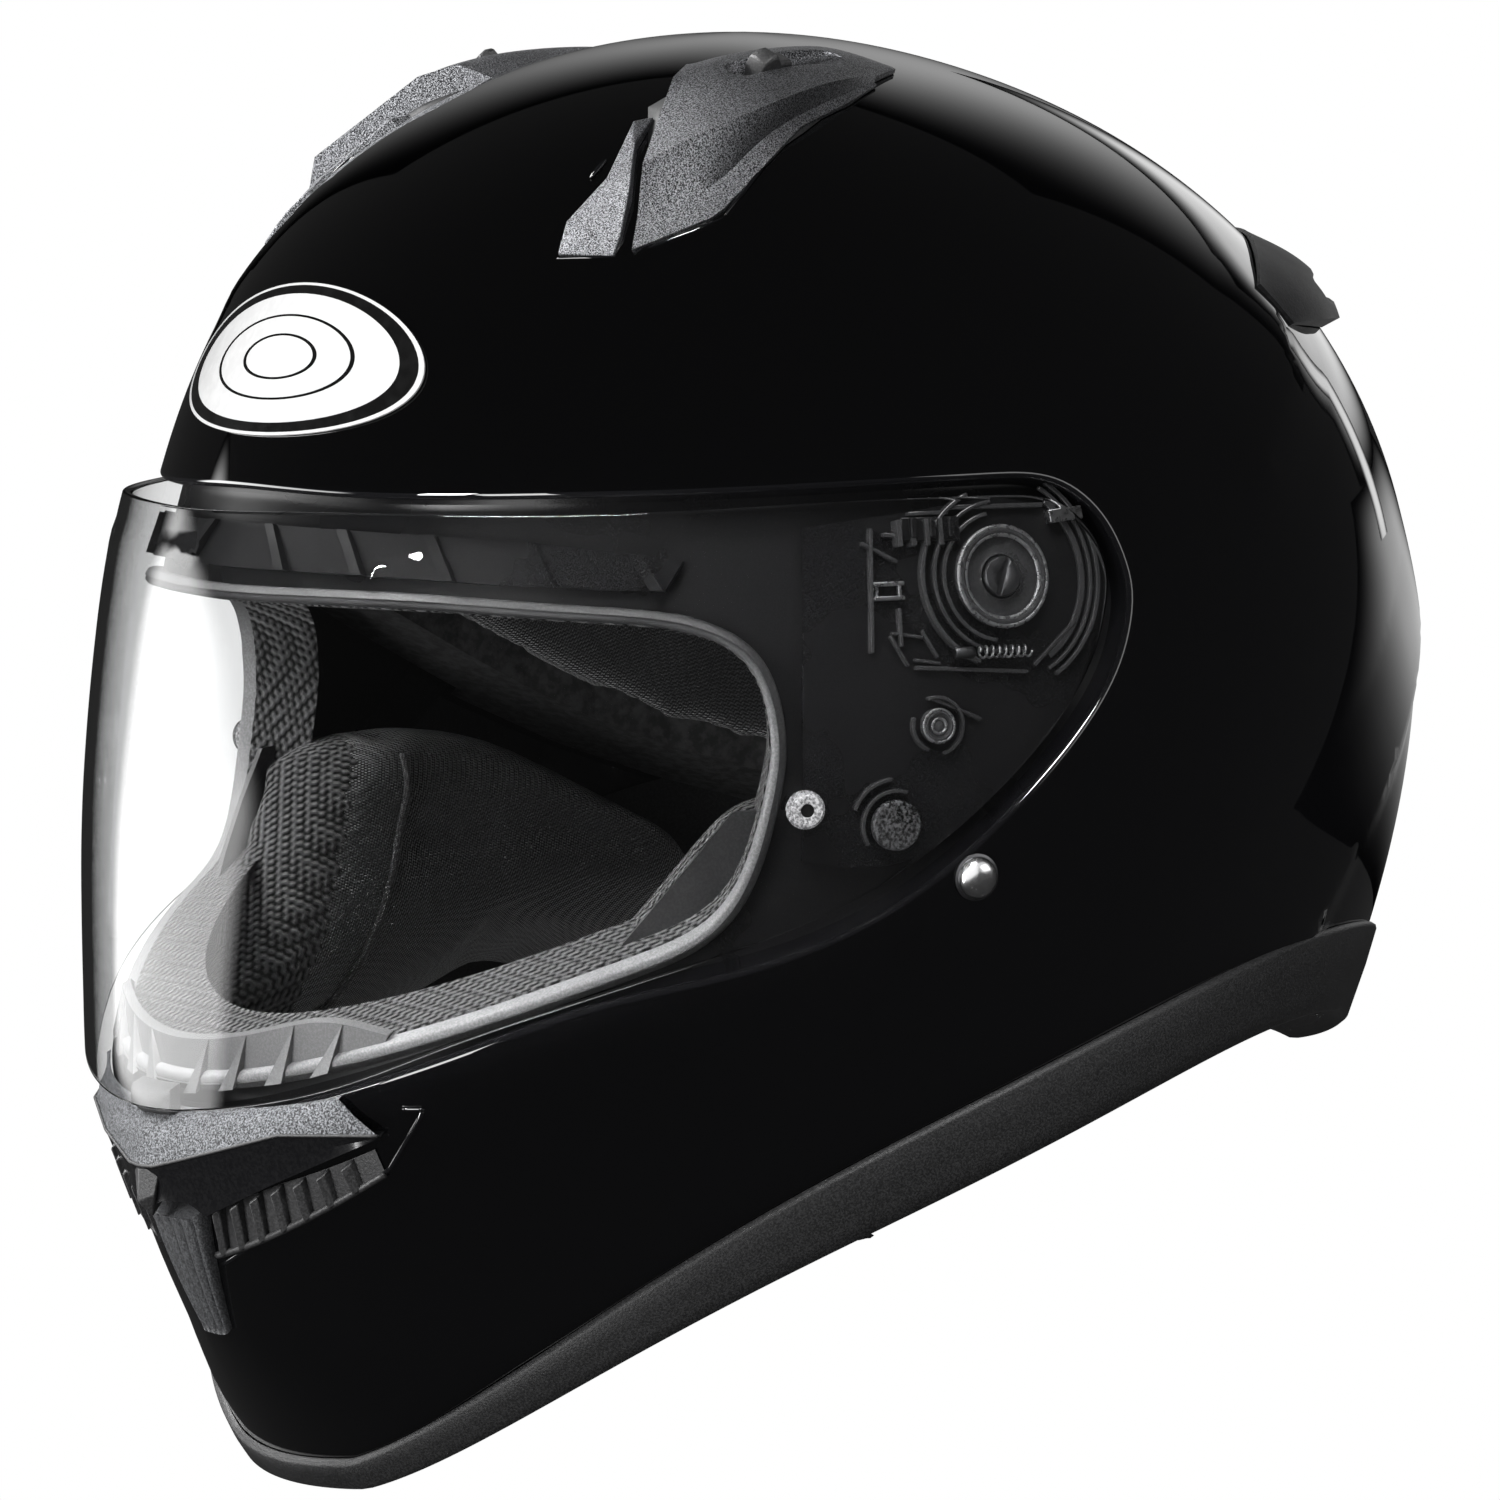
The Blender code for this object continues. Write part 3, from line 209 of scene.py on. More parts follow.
def rest(pts):
    """Worn position to resting position, both in millimetres about the hinge axis."""
    p = np.asarray(pts, float)
    c = math.cos(TILT)
    s = math.sin(TILT)
    return np.stack([p[..., 0], p[..., 1] * c + p[..., 2] * s, p[..., 2] * c - p[..., 1] * s], -1)


def worn(pts):
    """Resting position back to worn position, both in millimetres about the hinge axis."""
    p = np.asarray(pts, float)
    c = math.cos(TILT)
    s = math.sin(TILT)
    return np.stack([p[..., 0], p[..., 1] * c - p[..., 2] * s, p[..., 2] * c + p[..., 1] * s], -1)


def world(pts):
    """Worn millimetres to metres in the row frame."""
    return rest(pts) * MM + PIVOT_WORLD


def cosine_series(values):
    """Smooth function of the turn through values given every 45 degrees from the front to the rear."""
    fit = SHELL.fit @ np.array(values, float)
    return lambda turn: sum(fit[k] * np.cos(k * np.asarray(turn)) for k in range(5))


def rim_drop(turn, lift=0.0):
    """Angle down from the crown of the shell's rim, lifted by some millimetres."""
    heights = np.maximum(cosine_series(RIM_HEIGHTS)(turn), RIM_FLOOR)
    return SHELL.drop_at(turn, lambda p: rest(p)[..., 2] - heights - lift)


def level_drop(turn, values):
    """Angle down from the crown at which the surface passes heights given at five stations round the head."""
    heights = cosine_series(values)
    return SHELL.drop_at(turn, lambda p: p[..., 2] - heights(turn))


# ---------------------------------------------------------------- mesh helpers

SIDES = (("left", np.array([1.0, 1.0, 1.0])), ("right", np.array([-1.0, 1.0, 1.0])))
BLOCK_FACES = [(0, 1, 2, 3), (7, 6, 5, 4), (0, 4, 5, 1), (1, 5, 6, 2), (2, 6, 7, 3), (3, 7, 4, 0)]
WEDGE_FACES = [(0, 1, 2), (5, 4, 3), (0, 3, 4, 1), (1, 4, 5, 2), (2, 5, 3, 0)]
HALF_TURN = np.radians(np.linspace(0, 180, 9))


def make(name, verts, faces, mat, body="helmet", replaces=(), sharp=None):
    """One piece from points in the worn position, smooth but for edges sharper than an angle."""
    pts = world(np.asarray(verts, float))
    home = 0.5 * (pts.min(0) + pts.max(0))
    mesh = bpy.data.meshes.new(name)
    mesh.from_pydata([tuple(p) for p in pts - home], [], [tuple(int(i) for i in f) for f in faces])
    work = bmesh.new()
    work.from_mesh(mesh)
    bmesh.ops.remove_doubles(work, verts=work.verts, dist=1e-6)
    bmesh.ops.recalc_face_normals(work, faces=work.faces)
    work.to_mesh(mesh)
    work.free()
    obj = bpy.data.objects.new(name, mesh)
    obj.location = Vector(home)
    bpy.context.collection.objects.link(obj)
    mesh.materials.append(mat)
    mesh.shade_smooth()
    if sharp:
        mesh.set_sharp_from_angle(angle=math.radians(sharp))
    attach(obj, body)
    if replaces:
        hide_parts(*replaces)
    return obj


def quads(rows, columns, start=0, wrap=False):
    """Faces of a grid of points, closed across its columns if asked."""
    i = np.arange(rows - 1)[:, None] * columns
    j = np.arange(columns if wrap else columns - 1)[None, :]
    k = (j + 1) % columns
    grid = np.stack([i + j, i + k, i + columns + k, i + columns + j], -1).reshape(-1, 4) + start
    return [tuple(f) for f in grid]


def clean(verts, faces):
    """Merge points that coincide and drop the edges that vanish."""
    _, first, index = np.unique(np.round(verts, 4), axis=0, return_index=True, return_inverse=True)
    index = index.reshape(-1)
    kept = []
    for face in faces:
        loop = list(dict.fromkeys(index[list(face)]))
        if len(loop) > 2:
            kept.append(tuple(loop))
    return np.asarray(verts)[first], kept


def slab(outer, inner, wrap=False):
    """Closed solid between two grids of the same size."""
    rows, columns = outer.shape[:2]
    verts = np.concatenate([outer.reshape(-1, 3), inner.reshape(-1, 3)])
    half = rows * columns
    faces = quads(rows, columns, 0, wrap)
    faces += [f[::-1] for f in quads(rows, columns, half, wrap)]
    for j in range(columns if wrap else columns - 1):
        k = (j + 1) % columns
        last = (rows - 1) * columns
        faces.append((j, half + j, half + k, k))
        faces.append((last + j, last + k, half + last + k, half + last + j))
    if not wrap:
        for i in range(rows - 1):
            for edge in (i * columns, i * columns + columns - 1):
                faces.append((edge, edge + columns, half + edge + columns, half + edge))
    return clean(verts, faces)


def join(parts):
    """Several (verts, faces) as one."""
    verts = []
    faces = []
    count = 0
    for v, f in parts:
        verts.append(np.asarray(v, float))
        faces += [tuple(int(i) + count for i in face) for face in f]
        count += len(v)
    return np.concatenate(verts), faces


def loft(rings, wrap=True):
    """Skin over a list of rings of points."""
    grid = np.stack(rings)
    return clean(grid.reshape(-1, 3), quads(grid.shape[0], grid.shape[1], 0, wrap))


def dome(surface, outer_depth, inner_depth, columns, rows, edge):
    """Closed cap between two depths, down to an edge given as an angle from the crown."""
    turn = np.linspace(0, 2 * math.pi, columns, endpoint=False)
    share = np.linspace(0, 1, rows + 1)[:, None]
    drop = np.maximum(share * edge(turn)[None, :], 1e-4)
    outer = surface.at(turn[None, :], drop, outer_depth)
    inner = surface.at(turn[None, :], drop, inner_depth)
    outer[0] = surface.at(0.0, 1e-4, outer_depth)
    inner[0] = surface.at(0.0, 1e-4, inner_depth)
    return slab(outer, inner, wrap=True)


def resample(points, count):
    """Points evenly spaced along a smooth curve through the given ones."""
    pts = np.array(points, float)
    reach = np.concatenate([[0], np.cumsum(np.linalg.norm(np.diff(pts, axis=0), axis=1))])
    curves = [spline(reach, pts[:, k]) for k in range(pts.shape[1])]
    fine = np.linspace(0, reach[-1], 1200)
    dense = np.stack([c(fine) for c in curves], -1)
    length = np.concatenate([[0], np.cumsum(np.linalg.norm(np.diff(dense, axis=0), axis=1))])
    want = np.linspace(0, length[-1], count)
    return np.stack([np.interp(want, length, dense[:, k]) for k in range(pts.shape[1])], -1)


def straight(points, count):
    """Points evenly spaced along straight runs."""
    pts = np.array(points, float)
    reach = np.concatenate([[0], np.cumsum(np.linalg.norm(np.diff(pts, axis=0), axis=1))])
    want = np.linspace(0, reach[-1], count)
    return np.stack([np.interp(want, reach, pts[:, k]) for k in range(pts.shape[1])], -1)


def mirrored(points):
    half = np.array(points, float)
    return np.concatenate([half[:0:-1] * np.array([-1.0, 1.0, 1.0]), half])


def grow_loop(loop, amount, top):
    """Closed loop moved outward along the surface; top is the index of its highest middle point."""
    side = np.roll(loop, -1, axis=0) - np.roll(loop, 1, axis=0)
    out = np.cross(side, loop - CENTRE)
    out /= np.linalg.norm(out, axis=1)[:, None]
    if out[top, 2] < 0:
        out = -out
    return loop + amount * out


def lens(top, low, columns, grow=0.0):
    """Upper and lower edges of an opening that ends in a point on both sides, grown outward if asked."""
    upper = resample(mirrored(top), columns)
    lower = resample(mirrored(low), columns)
    if grow:
        loop = grow_loop(np.concatenate([upper, lower[-2:0:-1]]), grow, columns // 2)
        upper = loop[:columns]
        lower = np.concatenate([loop[:1], loop[:columns - 2:-1]])
    return upper, lower


def lens_loop(top, low, columns, grow=0.0):
    upper, lower = lens(top, low, columns, grow)
    return np.concatenate([upper, lower[-2:0:-1]])


def between(upper, lower, rows):
    share = np.linspace(0, 1, rows)[:, None, None]
    return upper[None] * (1 - share) + lower[None] * share


def band(surface, upper, lower, rows, outer_depth, inner_depth):
    """Closed strip between two edges that follows a surface."""
    grid = between(upper, lower, rows)
    return slab(surface.project(grid, outer_depth), surface.project(grid, inner_depth))


def pillow(rows, columns, sharpness=4):
    """Grid that is 1 in the middle and rounds down to 0 at its edges."""
    across = 1 - np.abs(np.linspace(-1, 1, rows)) ** sharpness
    along = 1 - np.abs(np.linspace(-1, 1, columns)) ** (2 * sharpness)
    return np.sqrt(across)[:, None] * np.sqrt(along)[None, :]


def frame_at(surface, spot):
    """Point of a surface near a spot, with its side, up and outward directions."""
    at = surface.project(np.array(spot, float))
    out = surface.normal(at)
    side = np.cross(np.array([0.0, 0.0, 1.0]), out)
    side /= np.linalg.norm(side)
    return at, side, np.cross(out, side), out


def side_frame(spot, turn):
    """Frame on the shell at a spot of the left side, or its mirror image."""
    return tuple(a * turn for a in frame_at(SHELL, spot))


def turned(axes, profile, segments=48, caps=True):
    """Turned solid: axes are (point, side, up, out), profile is (radius, height) from foot to top."""
    at, side, up, out = axes
    angle = np.linspace(0, 2 * math.pi, segments, endpoint=False)
    ring = np.cos(angle)[:, None] * side + np.sin(angle)[:, None] * up
    grid = np.stack([at + r * ring + h * out for r, h in profile])
    faces = quads(len(profile), segments, 0, True)
    if caps:
        last = (len(profile) - 1) * segments
        faces.append(tuple(range(segments)))
        faces.append(tuple(range(last + segments - 1, last - 1, -1)))
    return clean(grid.reshape(-1, 3), faces)


def tube(path, radius, sides=12, closed=False):
    """Round bar along a path; radius may change along it."""
    path = np.array(path, float)
    radius = np.broadcast_to(np.asarray(radius, float), (len(path),))[:, None]
    lead = np.roll(path, -1, axis=0) - np.roll(path, 1, axis=0) if closed else np.gradient(path, axis=0)
    lead /= np.linalg.norm(lead, axis=1)[:, None]
    across = TUBE_GUIDE - (lead @ TUBE_GUIDE)[:, None] * lead
    across /= np.linalg.norm(across, axis=1)[:, None]
    rise = np.cross(lead, across)
    angle = np.linspace(0, 2 * math.pi, sides, endpoint=False)
    grid = np.stack([path + radius * (math.cos(a) * across + math.sin(a) * rise) for a in angle], 1)
    if closed:
        grid = np.concatenate([grid, grid[:1]])
    faces = quads(len(grid), sides, 0, True)
    if not closed:
        last = (len(grid) - 1) * sides
        faces += [tuple(range(sides)), tuple(range(last + sides - 1, last - 1, -1))]
    return clean(grid.reshape(-1, 3), faces)


# a direction that no tube of this helmet runs along
TUBE_GUIDE = np.array([0.31, 0.11, 0.94])


def inside(points, polygon):
    """Which 2-D points lie in a polygon."""
    x, y = points[:, 0], points[:, 1]
    hit = np.zeros(len(points), bool)
    for (x0, y0), (x1, y1) in zip(polygon, np.roll(polygon, -1, axis=0)):
        if y0 == y1:
            continue
        crosses = (y0 > y) != (y1 > y)
        hit ^= crosses & (x < (x1 - x0) * (y - y0) / (y1 - y0) + x0)
    return hit


# ---------------------------------------------------------------- materials

def nodes_of(name):
    mat = bpy.data.materials.new(name)
    mat.use_nodes = True
    tree = mat.node_tree
    return mat, tree, tree.nodes["Principled BSDF"]


def set_inputs(node, **values):
    for key, value in values.items():
        node.inputs[key.replace("_", " ")].default_value = value


def add(tree, kind, **inputs):
    node = tree.nodes.new(kind)
    set_inputs(node, **inputs)
    return node


def link(tree, a, out, b, into):
    tree.links.new(a.outputs[out], b.inputs[into])


def ramp(tree, low, high, start=0.0, end=1.0):
    return add(tree, "ShaderNodeMapRange", From_Min=start, From_Max=end, To_Min=low, To_Max=high)


def math_node(tree, operation, *sources):
    """Math node fed with numbers or with output sockets."""
    node = tree.nodes.new("ShaderNodeMath")
    node.operation = operation
    for socket, source in zip(node.inputs, sources):
        if isinstance(source, bpy.types.NodeSocket):
            tree.links.new(source, socket)
        else:
            socket.default_value = source
    return node


def noise_of(tree, coords, scale, detail, rough):
    """Noise in metres of object space."""
    node = add(tree, "ShaderNodeTexNoise", Scale=scale, Detail=detail, Roughness=rough)
    link(tree, coords, "Object", node, "Vector")
    return node


def feed(tree, source, out, span, target, into):
    """Pass a value through a ramp (low, high, start, end) into a socket."""
    node = ramp(tree, *span)
    link(tree, source, out, node, "Value")
    link(tree, node, "Result", target, into)


def raise_surface(tree, source, out, shader, strength, distance):
    lift = add(tree, "ShaderNodeBump", Strength=strength, Distance=distance)
    link(tree, source, out, lift, "Height")
    link(tree, lift, "Normal", shader, "Normal")


def colour_mix(tree, a, b):
    node = tree.nodes.new("ShaderNodeMix")
    node.data_type = "RGBA"
    node.inputs["A"].default_value = (*a, 1)
    node.inputs["B"].default_value = (*b, 1)
    return node


def surface_material(name, dark, light, rough, grain, bump, metallic=0.0, coat=0.0, specular=0.5):
    """Moulded or painted surface: fine noise drives colour and bump, broad noise the gloss."""
    mat, tree, shader = nodes_of(name)
    coords = tree.nodes.new("ShaderNodeTexCoord")
    noise = noise_of(tree, coords, 1.0 / (grain * MM), 4.0, 0.6)
    broad = noise_of(tree, coords, 28.0, 3.0, 0.5)
    mix = colour_mix(tree, dark, light)
    feed(tree, noise, "Fac", (0.0, 1.0, 0.42, 0.62), mix, "Factor")
    link(tree, mix, "Result", shader, "Base Color")
    feed(tree, broad, "Fac", (*rough, 0.35, 0.65), shader, "Roughness")
    raise_surface(tree, noise, "Fac", shader, bump, 0.0003)
    set_inputs(shader, Metallic=metallic, Coat_Weight=coat, Coat_Roughness=0.03, Specular_IOR_Level=specular)
    return mat


def painted_shade_by_height(mat, tint, low, high):
    """Painted shade: pass from a dark tint at the top to the material's own colour lower down, between two
    heights of object space.
    """
    tree = mat.node_tree
    shader = tree.nodes["Principled BSDF"]
    source = shader.inputs["Base Color"].links[0].from_socket
    coords = tree.nodes.new("ShaderNodeTexCoord")
    split = tree.nodes.new("ShaderNodeSeparateXYZ")
    link(tree, coords, "Object", split, "Vector")
    mix = colour_mix(tree, tint, tint)
    tree.links.new(source, mix.inputs["A"])
    feed(tree, split, "Z", (0.0, 1.0, low, high), mix, "Factor")
    link(tree, mix, "Result", shader, "Base Color")


def gloss_material(name, colour, rough):
    """Lacquer: a hint of orange peel and of fine dust under a hard clear coat."""
    mat, tree, shader = nodes_of(name)
    coords = tree.nodes.new("ShaderNodeTexCoord")
    peel = noise_of(tree, coords, 260.0, 2.0, 0.4)
    dust = noise_of(tree, coords, 1400.0, 2.0, 0.7)
    mix = colour_mix(tree, colour, tuple(c * 1.8 + 0.002 for c in colour))
    feed(tree, dust, "Fac", (0.0, 1.0, 0.66, 0.8), mix, "Factor")
    link(tree, mix, "Result", shader, "Base Color")
    feed(tree, peel, "Fac", (rough, rough * 1.7, 0.4, 0.7), shader, "Roughness")
    raise_surface(tree, peel, "Fac", shader, 0.02, 0.0001)
    set_inputs(shader, Coat_Weight=1.0, Coat_Roughness=0.02)
    return mat


def clear_material(name, tint):
    """Clear polycarbonate; its shadow stays light."""
    mat, tree, shader = nodes_of(name)
    coords = tree.nodes.new("ShaderNodeTexCoord")
    smear = noise_of(tree, coords, 18.0, 5.0, 0.6)
    feed(tree, smear, "Fac", (0.0, 0.012, 0.45, 0.75), shader, "Roughness")
    rays = tree.nodes.new("ShaderNodeLightPath")
    feed(tree, rays, "Is Shadow Ray", (1.0, 0.06), shader, "Alpha")
    set_inputs(shader, Base_Color=(*tint, 1), Transmission_Weight=1.0, IOR=1.5)
    return mat


def metal_material(name, colour, rough, scratch):
    mat, tree, shader = nodes_of(name)
    coords = tree.nodes.new("ShaderNodeTexCoord")
    noise = noise_of(tree, coords, 900.0, 3.0, 0.6)
    mix = colour_mix(tree, tuple(c * 0.85 for c in colour), colour)
    link(tree, noise, "Fac", mix, "Factor")
    link(tree, mix, "Result", shader, "Base Color")
    feed(tree, noise, "Fac", (rough, rough + scratch, 0.4, 0.8), shader, "Roughness")
    set_inputs(shader, Metallic=1.0)
    return mat


WEAVES = {"mesh": ("XSINE YCOSINE", "YSINE ZCOSINE", "ZSINE XCOSINE"),
          "knit": ("YSINE ZSINE", "XSINE ZCOSINE")}


def weave_height(tree, coords, pitch, kind):
    """Height of a fabric in object space: holes of a mesh or ribs of a knit, a pitch in millimetres apart."""
    split = tree.nodes.new("ShaderNodeSeparateXYZ")
    link(tree, coords, "Object", split, "Vector")
    wave = {}
    for axis in "XYZ":
        turn = math_node(tree, "MULTIPLY", split.outputs[axis], 2 * math.pi / (pitch * MM))
        for shape in ("SINE", "COSINE"):
            wave[axis + shape] = math_node(tree, shape, turn.outputs[0])
    total = None
    for pair in WEAVES[kind]:
        product = math_node(tree, "MULTIPLY", *(wave[part].outputs[0] for part in pair.split()))
        total = math_node(tree, "ADD", total.outputs[0], product.outputs[0]) if total else product
    return total


def fabric_material(name, dark, light, pitch, kind, strength, sheen):
    """Padded lining fabric: weave and fuzz raise the surface, holes are darker than threads."""
    mat, tree, shader = nodes_of(name)
    coords = tree.nodes.new("ShaderNodeTexCoord")
    weave = weave_height(tree, coords, pitch, kind)
    fuzz = noise_of(tree, coords, 2600.0, 3.0, 0.7)
    patch = noise_of(tree, coords, 60.0, 4.0, 0.6)
    mix = colour_mix(tree, dark, light)
    feed(tree, weave, "Value", (0.0, 1.0, -0.5, 0.9), mix, "Factor")
    tone = tree.nodes.new("ShaderNodeMix")
    tone.data_type = "RGBA"
    tone.blend_type = "MULTIPLY"
    set_inputs(tone, Factor=0.5)
    link(tree, mix, "Result", tone, "A")
    feed(tree, patch, "Fac", (0.6, 1.4, 0.35, 0.65), tone, "B")
    link(tree, tone, "Result", shader, "Base Color")
    both = math_node(tree, "ADD", weave.outputs[0], fuzz.outputs["Fac"])
    raise_surface(tree, both, "Value", shader, strength, 0.0004)
    feed(tree, fuzz, "Fac", (0.8, 1.0, 0.3, 0.7), shader, "Roughness")
    set_inputs(shader, Sheen_Weight=sheen, Sheen_Roughness=0.4, Specular_IOR_Level=0.2)
    return mat


# surfaces: darkest and lightest colour, range of roughness, grain in millimetres, bump, metallic
GLOSS = gloss_material("gloss_black", (0.0035, 0.0035, 0.004), 0.035)
GRAIN = surface_material("metallic_grain", (0.008, 0.008, 0.009), (0.3, 0.305, 0.32),
                         (0.34, 0.46), 0.3, 0.6, 0.88)
SATIN = surface_material("satin_trim", (0.012, 0.012, 0.0125), (0.03, 0.03, 0.031), (0.42, 0.55), 0.5, 0.35)
MATTE = surface_material("matte_black", (0.007, 0.007, 0.0075), (0.018, 0.018, 0.019), (0.4, 0.6), 0.6, 0.25)
FLOOR_PLASTIC = surface_material("recess_plastic", (0.004, 0.004, 0.0043), (0.009, 0.009, 0.0095),
                                 (0.25, 0.36), 0.3, 0.04, specular=0.3)
RUBBER = surface_material("rubber", (0.012, 0.012, 0.0125), (0.026, 0.026, 0.027), (0.5, 0.7), 0.7, 0.3)
FOAM = surface_material("foam", (0.012, 0.012, 0.012), (0.035, 0.035, 0.036), (0.8, 0.95), 2.6, 0.7)
PORT_LIP = surface_material("port_lip", (0.1, 0.1, 0.102), (0.16, 0.16, 0.163), (0.35, 0.5), 0.5, 0.2)
# painted shade: the upper part of the port lip darkens to a near-black tint
painted_shade_by_height(PORT_LIP, (0.02, 0.02, 0.021), 0.0, 0.03)
FIN_GREY = surface_material("deflector_grey", (0.045, 0.045, 0.046), (0.065, 0.065, 0.066),
                            (0.4, 0.55), 0.5, 0.15)
GRAIN_FINE = surface_material("fine_grain", (0.016, 0.016, 0.017), (0.07, 0.072, 0.076),
                              (0.34, 0.46), 0.4, 0.4)
GRAIN_COARSE = surface_material("coarse_grain", (0.008, 0.008, 0.009), (0.17, 0.175, 0.185),
                                (0.38, 0.5), 0.42, 0.9, 0.6)
GLOSS_SOFT = surface_material("smooth_black", (0.004, 0.004, 0.0045), (0.007, 0.007, 0.0075),
                              (0.12, 0.2), 0.8, 0.04)
SATIN_GRAIN = surface_material("grained_trim", (0.012, 0.012, 0.0125), (0.034, 0.034, 0.035),
                               (0.36, 0.48), 0.45, 0.5)
MECH = surface_material("mechanism_plastic", (0.004, 0.004, 0.0043), (0.009, 0.009, 0.0095),
                        (0.22, 0.34), 0.25, 0.03, specular=0.25)
MECH_SHINE = surface_material("mechanism_polished", (0.022, 0.022, 0.023), (0.034, 0.034, 0.035),
                              (0.1, 0.18), 0.4, 0.01, specular=0.7)
SPARKLE = surface_material("textured_disc", (0.006, 0.006, 0.006), (0.11, 0.11, 0.115),
                           (0.2, 0.4), 0.7, 1.0, 0.3)
PRINT_WHITE = surface_material("print_white", (0.78, 0.78, 0.78), (0.84, 0.84, 0.84),
                               (0.12, 0.18), 3.0, 0.02, coat=0.6)
PRINT_BLACK = surface_material("print_black", (0.006, 0.006, 0.006), (0.01, 0.01, 0.01),
                               (0.12, 0.18), 3.0, 0.02, coat=0.6)
PIPING = fabric_material("piping", (0.02, 0.02, 0.021), (0.07, 0.07, 0.072), 0.7, "knit", 0.5, 0.3)
FROSTED = surface_material("frosted_pin", (0.1, 0.1, 0.103), (0.42, 0.42, 0.43), (0.1, 0.26), 0.6, 0.5)
PIN_DARK = surface_material("pin_dark", (0.003, 0.003, 0.003), (0.005, 0.005, 0.005),
                            (0.6, 0.8), 0.6, 0.1, specular=0.1)
CLEAR = clear_material("clear_polycarbonate", (0.985, 0.99, 0.992))
CHROME = metal_material("chrome", (0.78, 0.78, 0.79), 0.06, 0.06)
SOFT_CHROME = metal_material("soft_chrome", (0.78, 0.78, 0.79), 0.2, 0.1)
STEEL = metal_material("steel", (0.5, 0.5, 0.51), 0.25, 0.2)
DARK_STEEL = metal_material("dark_steel", (0.12, 0.12, 0.125), 0.3, 0.2)
PLUSH = fabric_material("plush_knit", (0.008, 0.008, 0.0085), (0.052, 0.052, 0.055), 0.9, "knit", 0.7, 0.5)
MESH = fabric_material("spacer_mesh", (0.003, 0.003, 0.003), (0.05, 0.05, 0.052), 2.3, "mesh", 1.0, 0.2)
WEBBING = fabric_material("webbing", (0.006, 0.006, 0.006), (0.03, 0.03, 0.031), 1.6, "knit", 0.9, 0.1)
SMOOTH_CLOTH = fabric_material("smooth_cloth", (0.006, 0.006, 0.006), (0.02, 0.02, 0.021),
                               0.6, "knit", 0.3, 0.3)


# ---------------------------------------------------------------- shell

def plane_points(surface, pts):
    """Azimuthal map about the crown: angle down is the radius."""
    turn, drop = surface.angles(pts)
    return np.stack([drop * np.sin(turn), -drop * np.cos(turn)], -1)


SKIN_TURNS = 300
SKIN_ROWS = 120


def skin(surface, holes, edge, columns, rows, depth):
    """Smooth skin of a surface inside an edge and outside holes, as points, triangles and normals.

    The edge and the holes are loops of points near the surface; depth is a function of the points.
    """
    loops = [plane_points(surface, loop) for loop in [edge] + list(holes)]
    turn = np.linspace(-math.pi, math.pi, columns, endpoint=False)
    share = (np.arange(rows) + 0.5) / rows
    limit = max(np.hypot(*loops[0].T)) * 1.01
    field = np.stack([np.outer(share * limit, np.sin(turn)).ravel(),
                      -np.outer(share * limit, np.cos(turn)).ravel()], -1)
    spare = limit / rows * 0.55
    keep = inside(field, loops[0])
    for loop in loops[1:]:
        keep &= ~inside(field, loop)
    for loop in loops:
        near = np.full(len(field), 9.0)
        dense = np.concatenate([loop, 0.5 * (loop + np.roll(loop, -1, axis=0))])
        for start in range(0, len(dense), 64):
            gap = np.hypot(field[:, None, 0] - dense[None, start:start + 64, 0],
                           field[:, None, 1] - dense[None, start:start + 64, 1])
            near = np.minimum(near, gap.min(1))
        keep &= near > spare
    field = field[keep]
    flat = np.concatenate(loops + [field])
    edges = []
    count = 0
    for loop in loops:
        n = len(loop)
        edges += [(count + i, count + (i + 1) % n) for i in range(n)]
        count += n
    result = delaunay_2d_cdt([Vector(p) for p in flat], edges, [], 0, 1e-7)
    pts = np.array([tuple(v) for v in result[0]])
    tris = np.array([f for f in result[2]])
    middle = pts[tris].mean(1)
    good = inside(middle, loops[0])
    for loop in loops[1:]:
        good &= ~inside(middle, loop)
    tris = tris[good]
    reach = np.hypot(pts[:, 0], pts[:, 1])
    around = np.arctan2(pts[:, 0], -pts[:, 1])
    spots = shaped(surface, around, np.maximum(reach, 1e-4), depth)
    step = 2e-3
    along = shaped(surface, around + step, np.maximum(reach, 2e-2), depth) \
        - shaped(surface, around - step, np.maximum(reach, 2e-2), depth)
    down = shaped(surface, around, reach + step, depth) \
        - shaped(surface, around, np.maximum(reach - step, 1e-4), depth)
    normals = np.cross(down, along)
    normals /= np.linalg.norm(normals, axis=1)[:, None]
    return spots, tris, normals


def shaped(surface, turn, drop, depth):
    """Points of a surface with its relief."""
    base = surface.at(turn, drop)
    return surface.at(turn, drop, depth(base))


def with_normals(obj, normals):
    """Give a mesh exact normals, in worn directions."""
    obj.data.normals_split_custom_set_from_vertices([Vector(n).normalized() for n in rest(normals)])


def make_shaded(name, verts, faces, normals, mat, body="helmet", replaces=()):
    """A piece whose normals are given point by point."""
    verts = np.asarray(verts, float)
    pts = world(verts)
    home = 0.5 * (pts.min(0) + pts.max(0))
    normals = np.asarray(normals, float)
    facing = []
    for face in faces:
        a, b, c = (verts[int(i)] for i in face[:3])
        square = np.cross(b - a, c - a)
        facing.append(tuple(int(i) for i in (face if square @ normals[int(face[0])] >= 0 else face[::-1])))
    mesh = bpy.data.meshes.new(name)
    mesh.from_pydata([tuple(p) for p in pts - home], [], facing)
    mesh.shade_smooth()
    obj = bpy.data.objects.new(name, mesh)
    obj.location = Vector(home)
    bpy.context.collection.objects.link(obj)
    mesh.materials.append(mat)
    with_normals(obj, normals)
    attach(obj, body)
    if replaces:
        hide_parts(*replaces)
    return obj


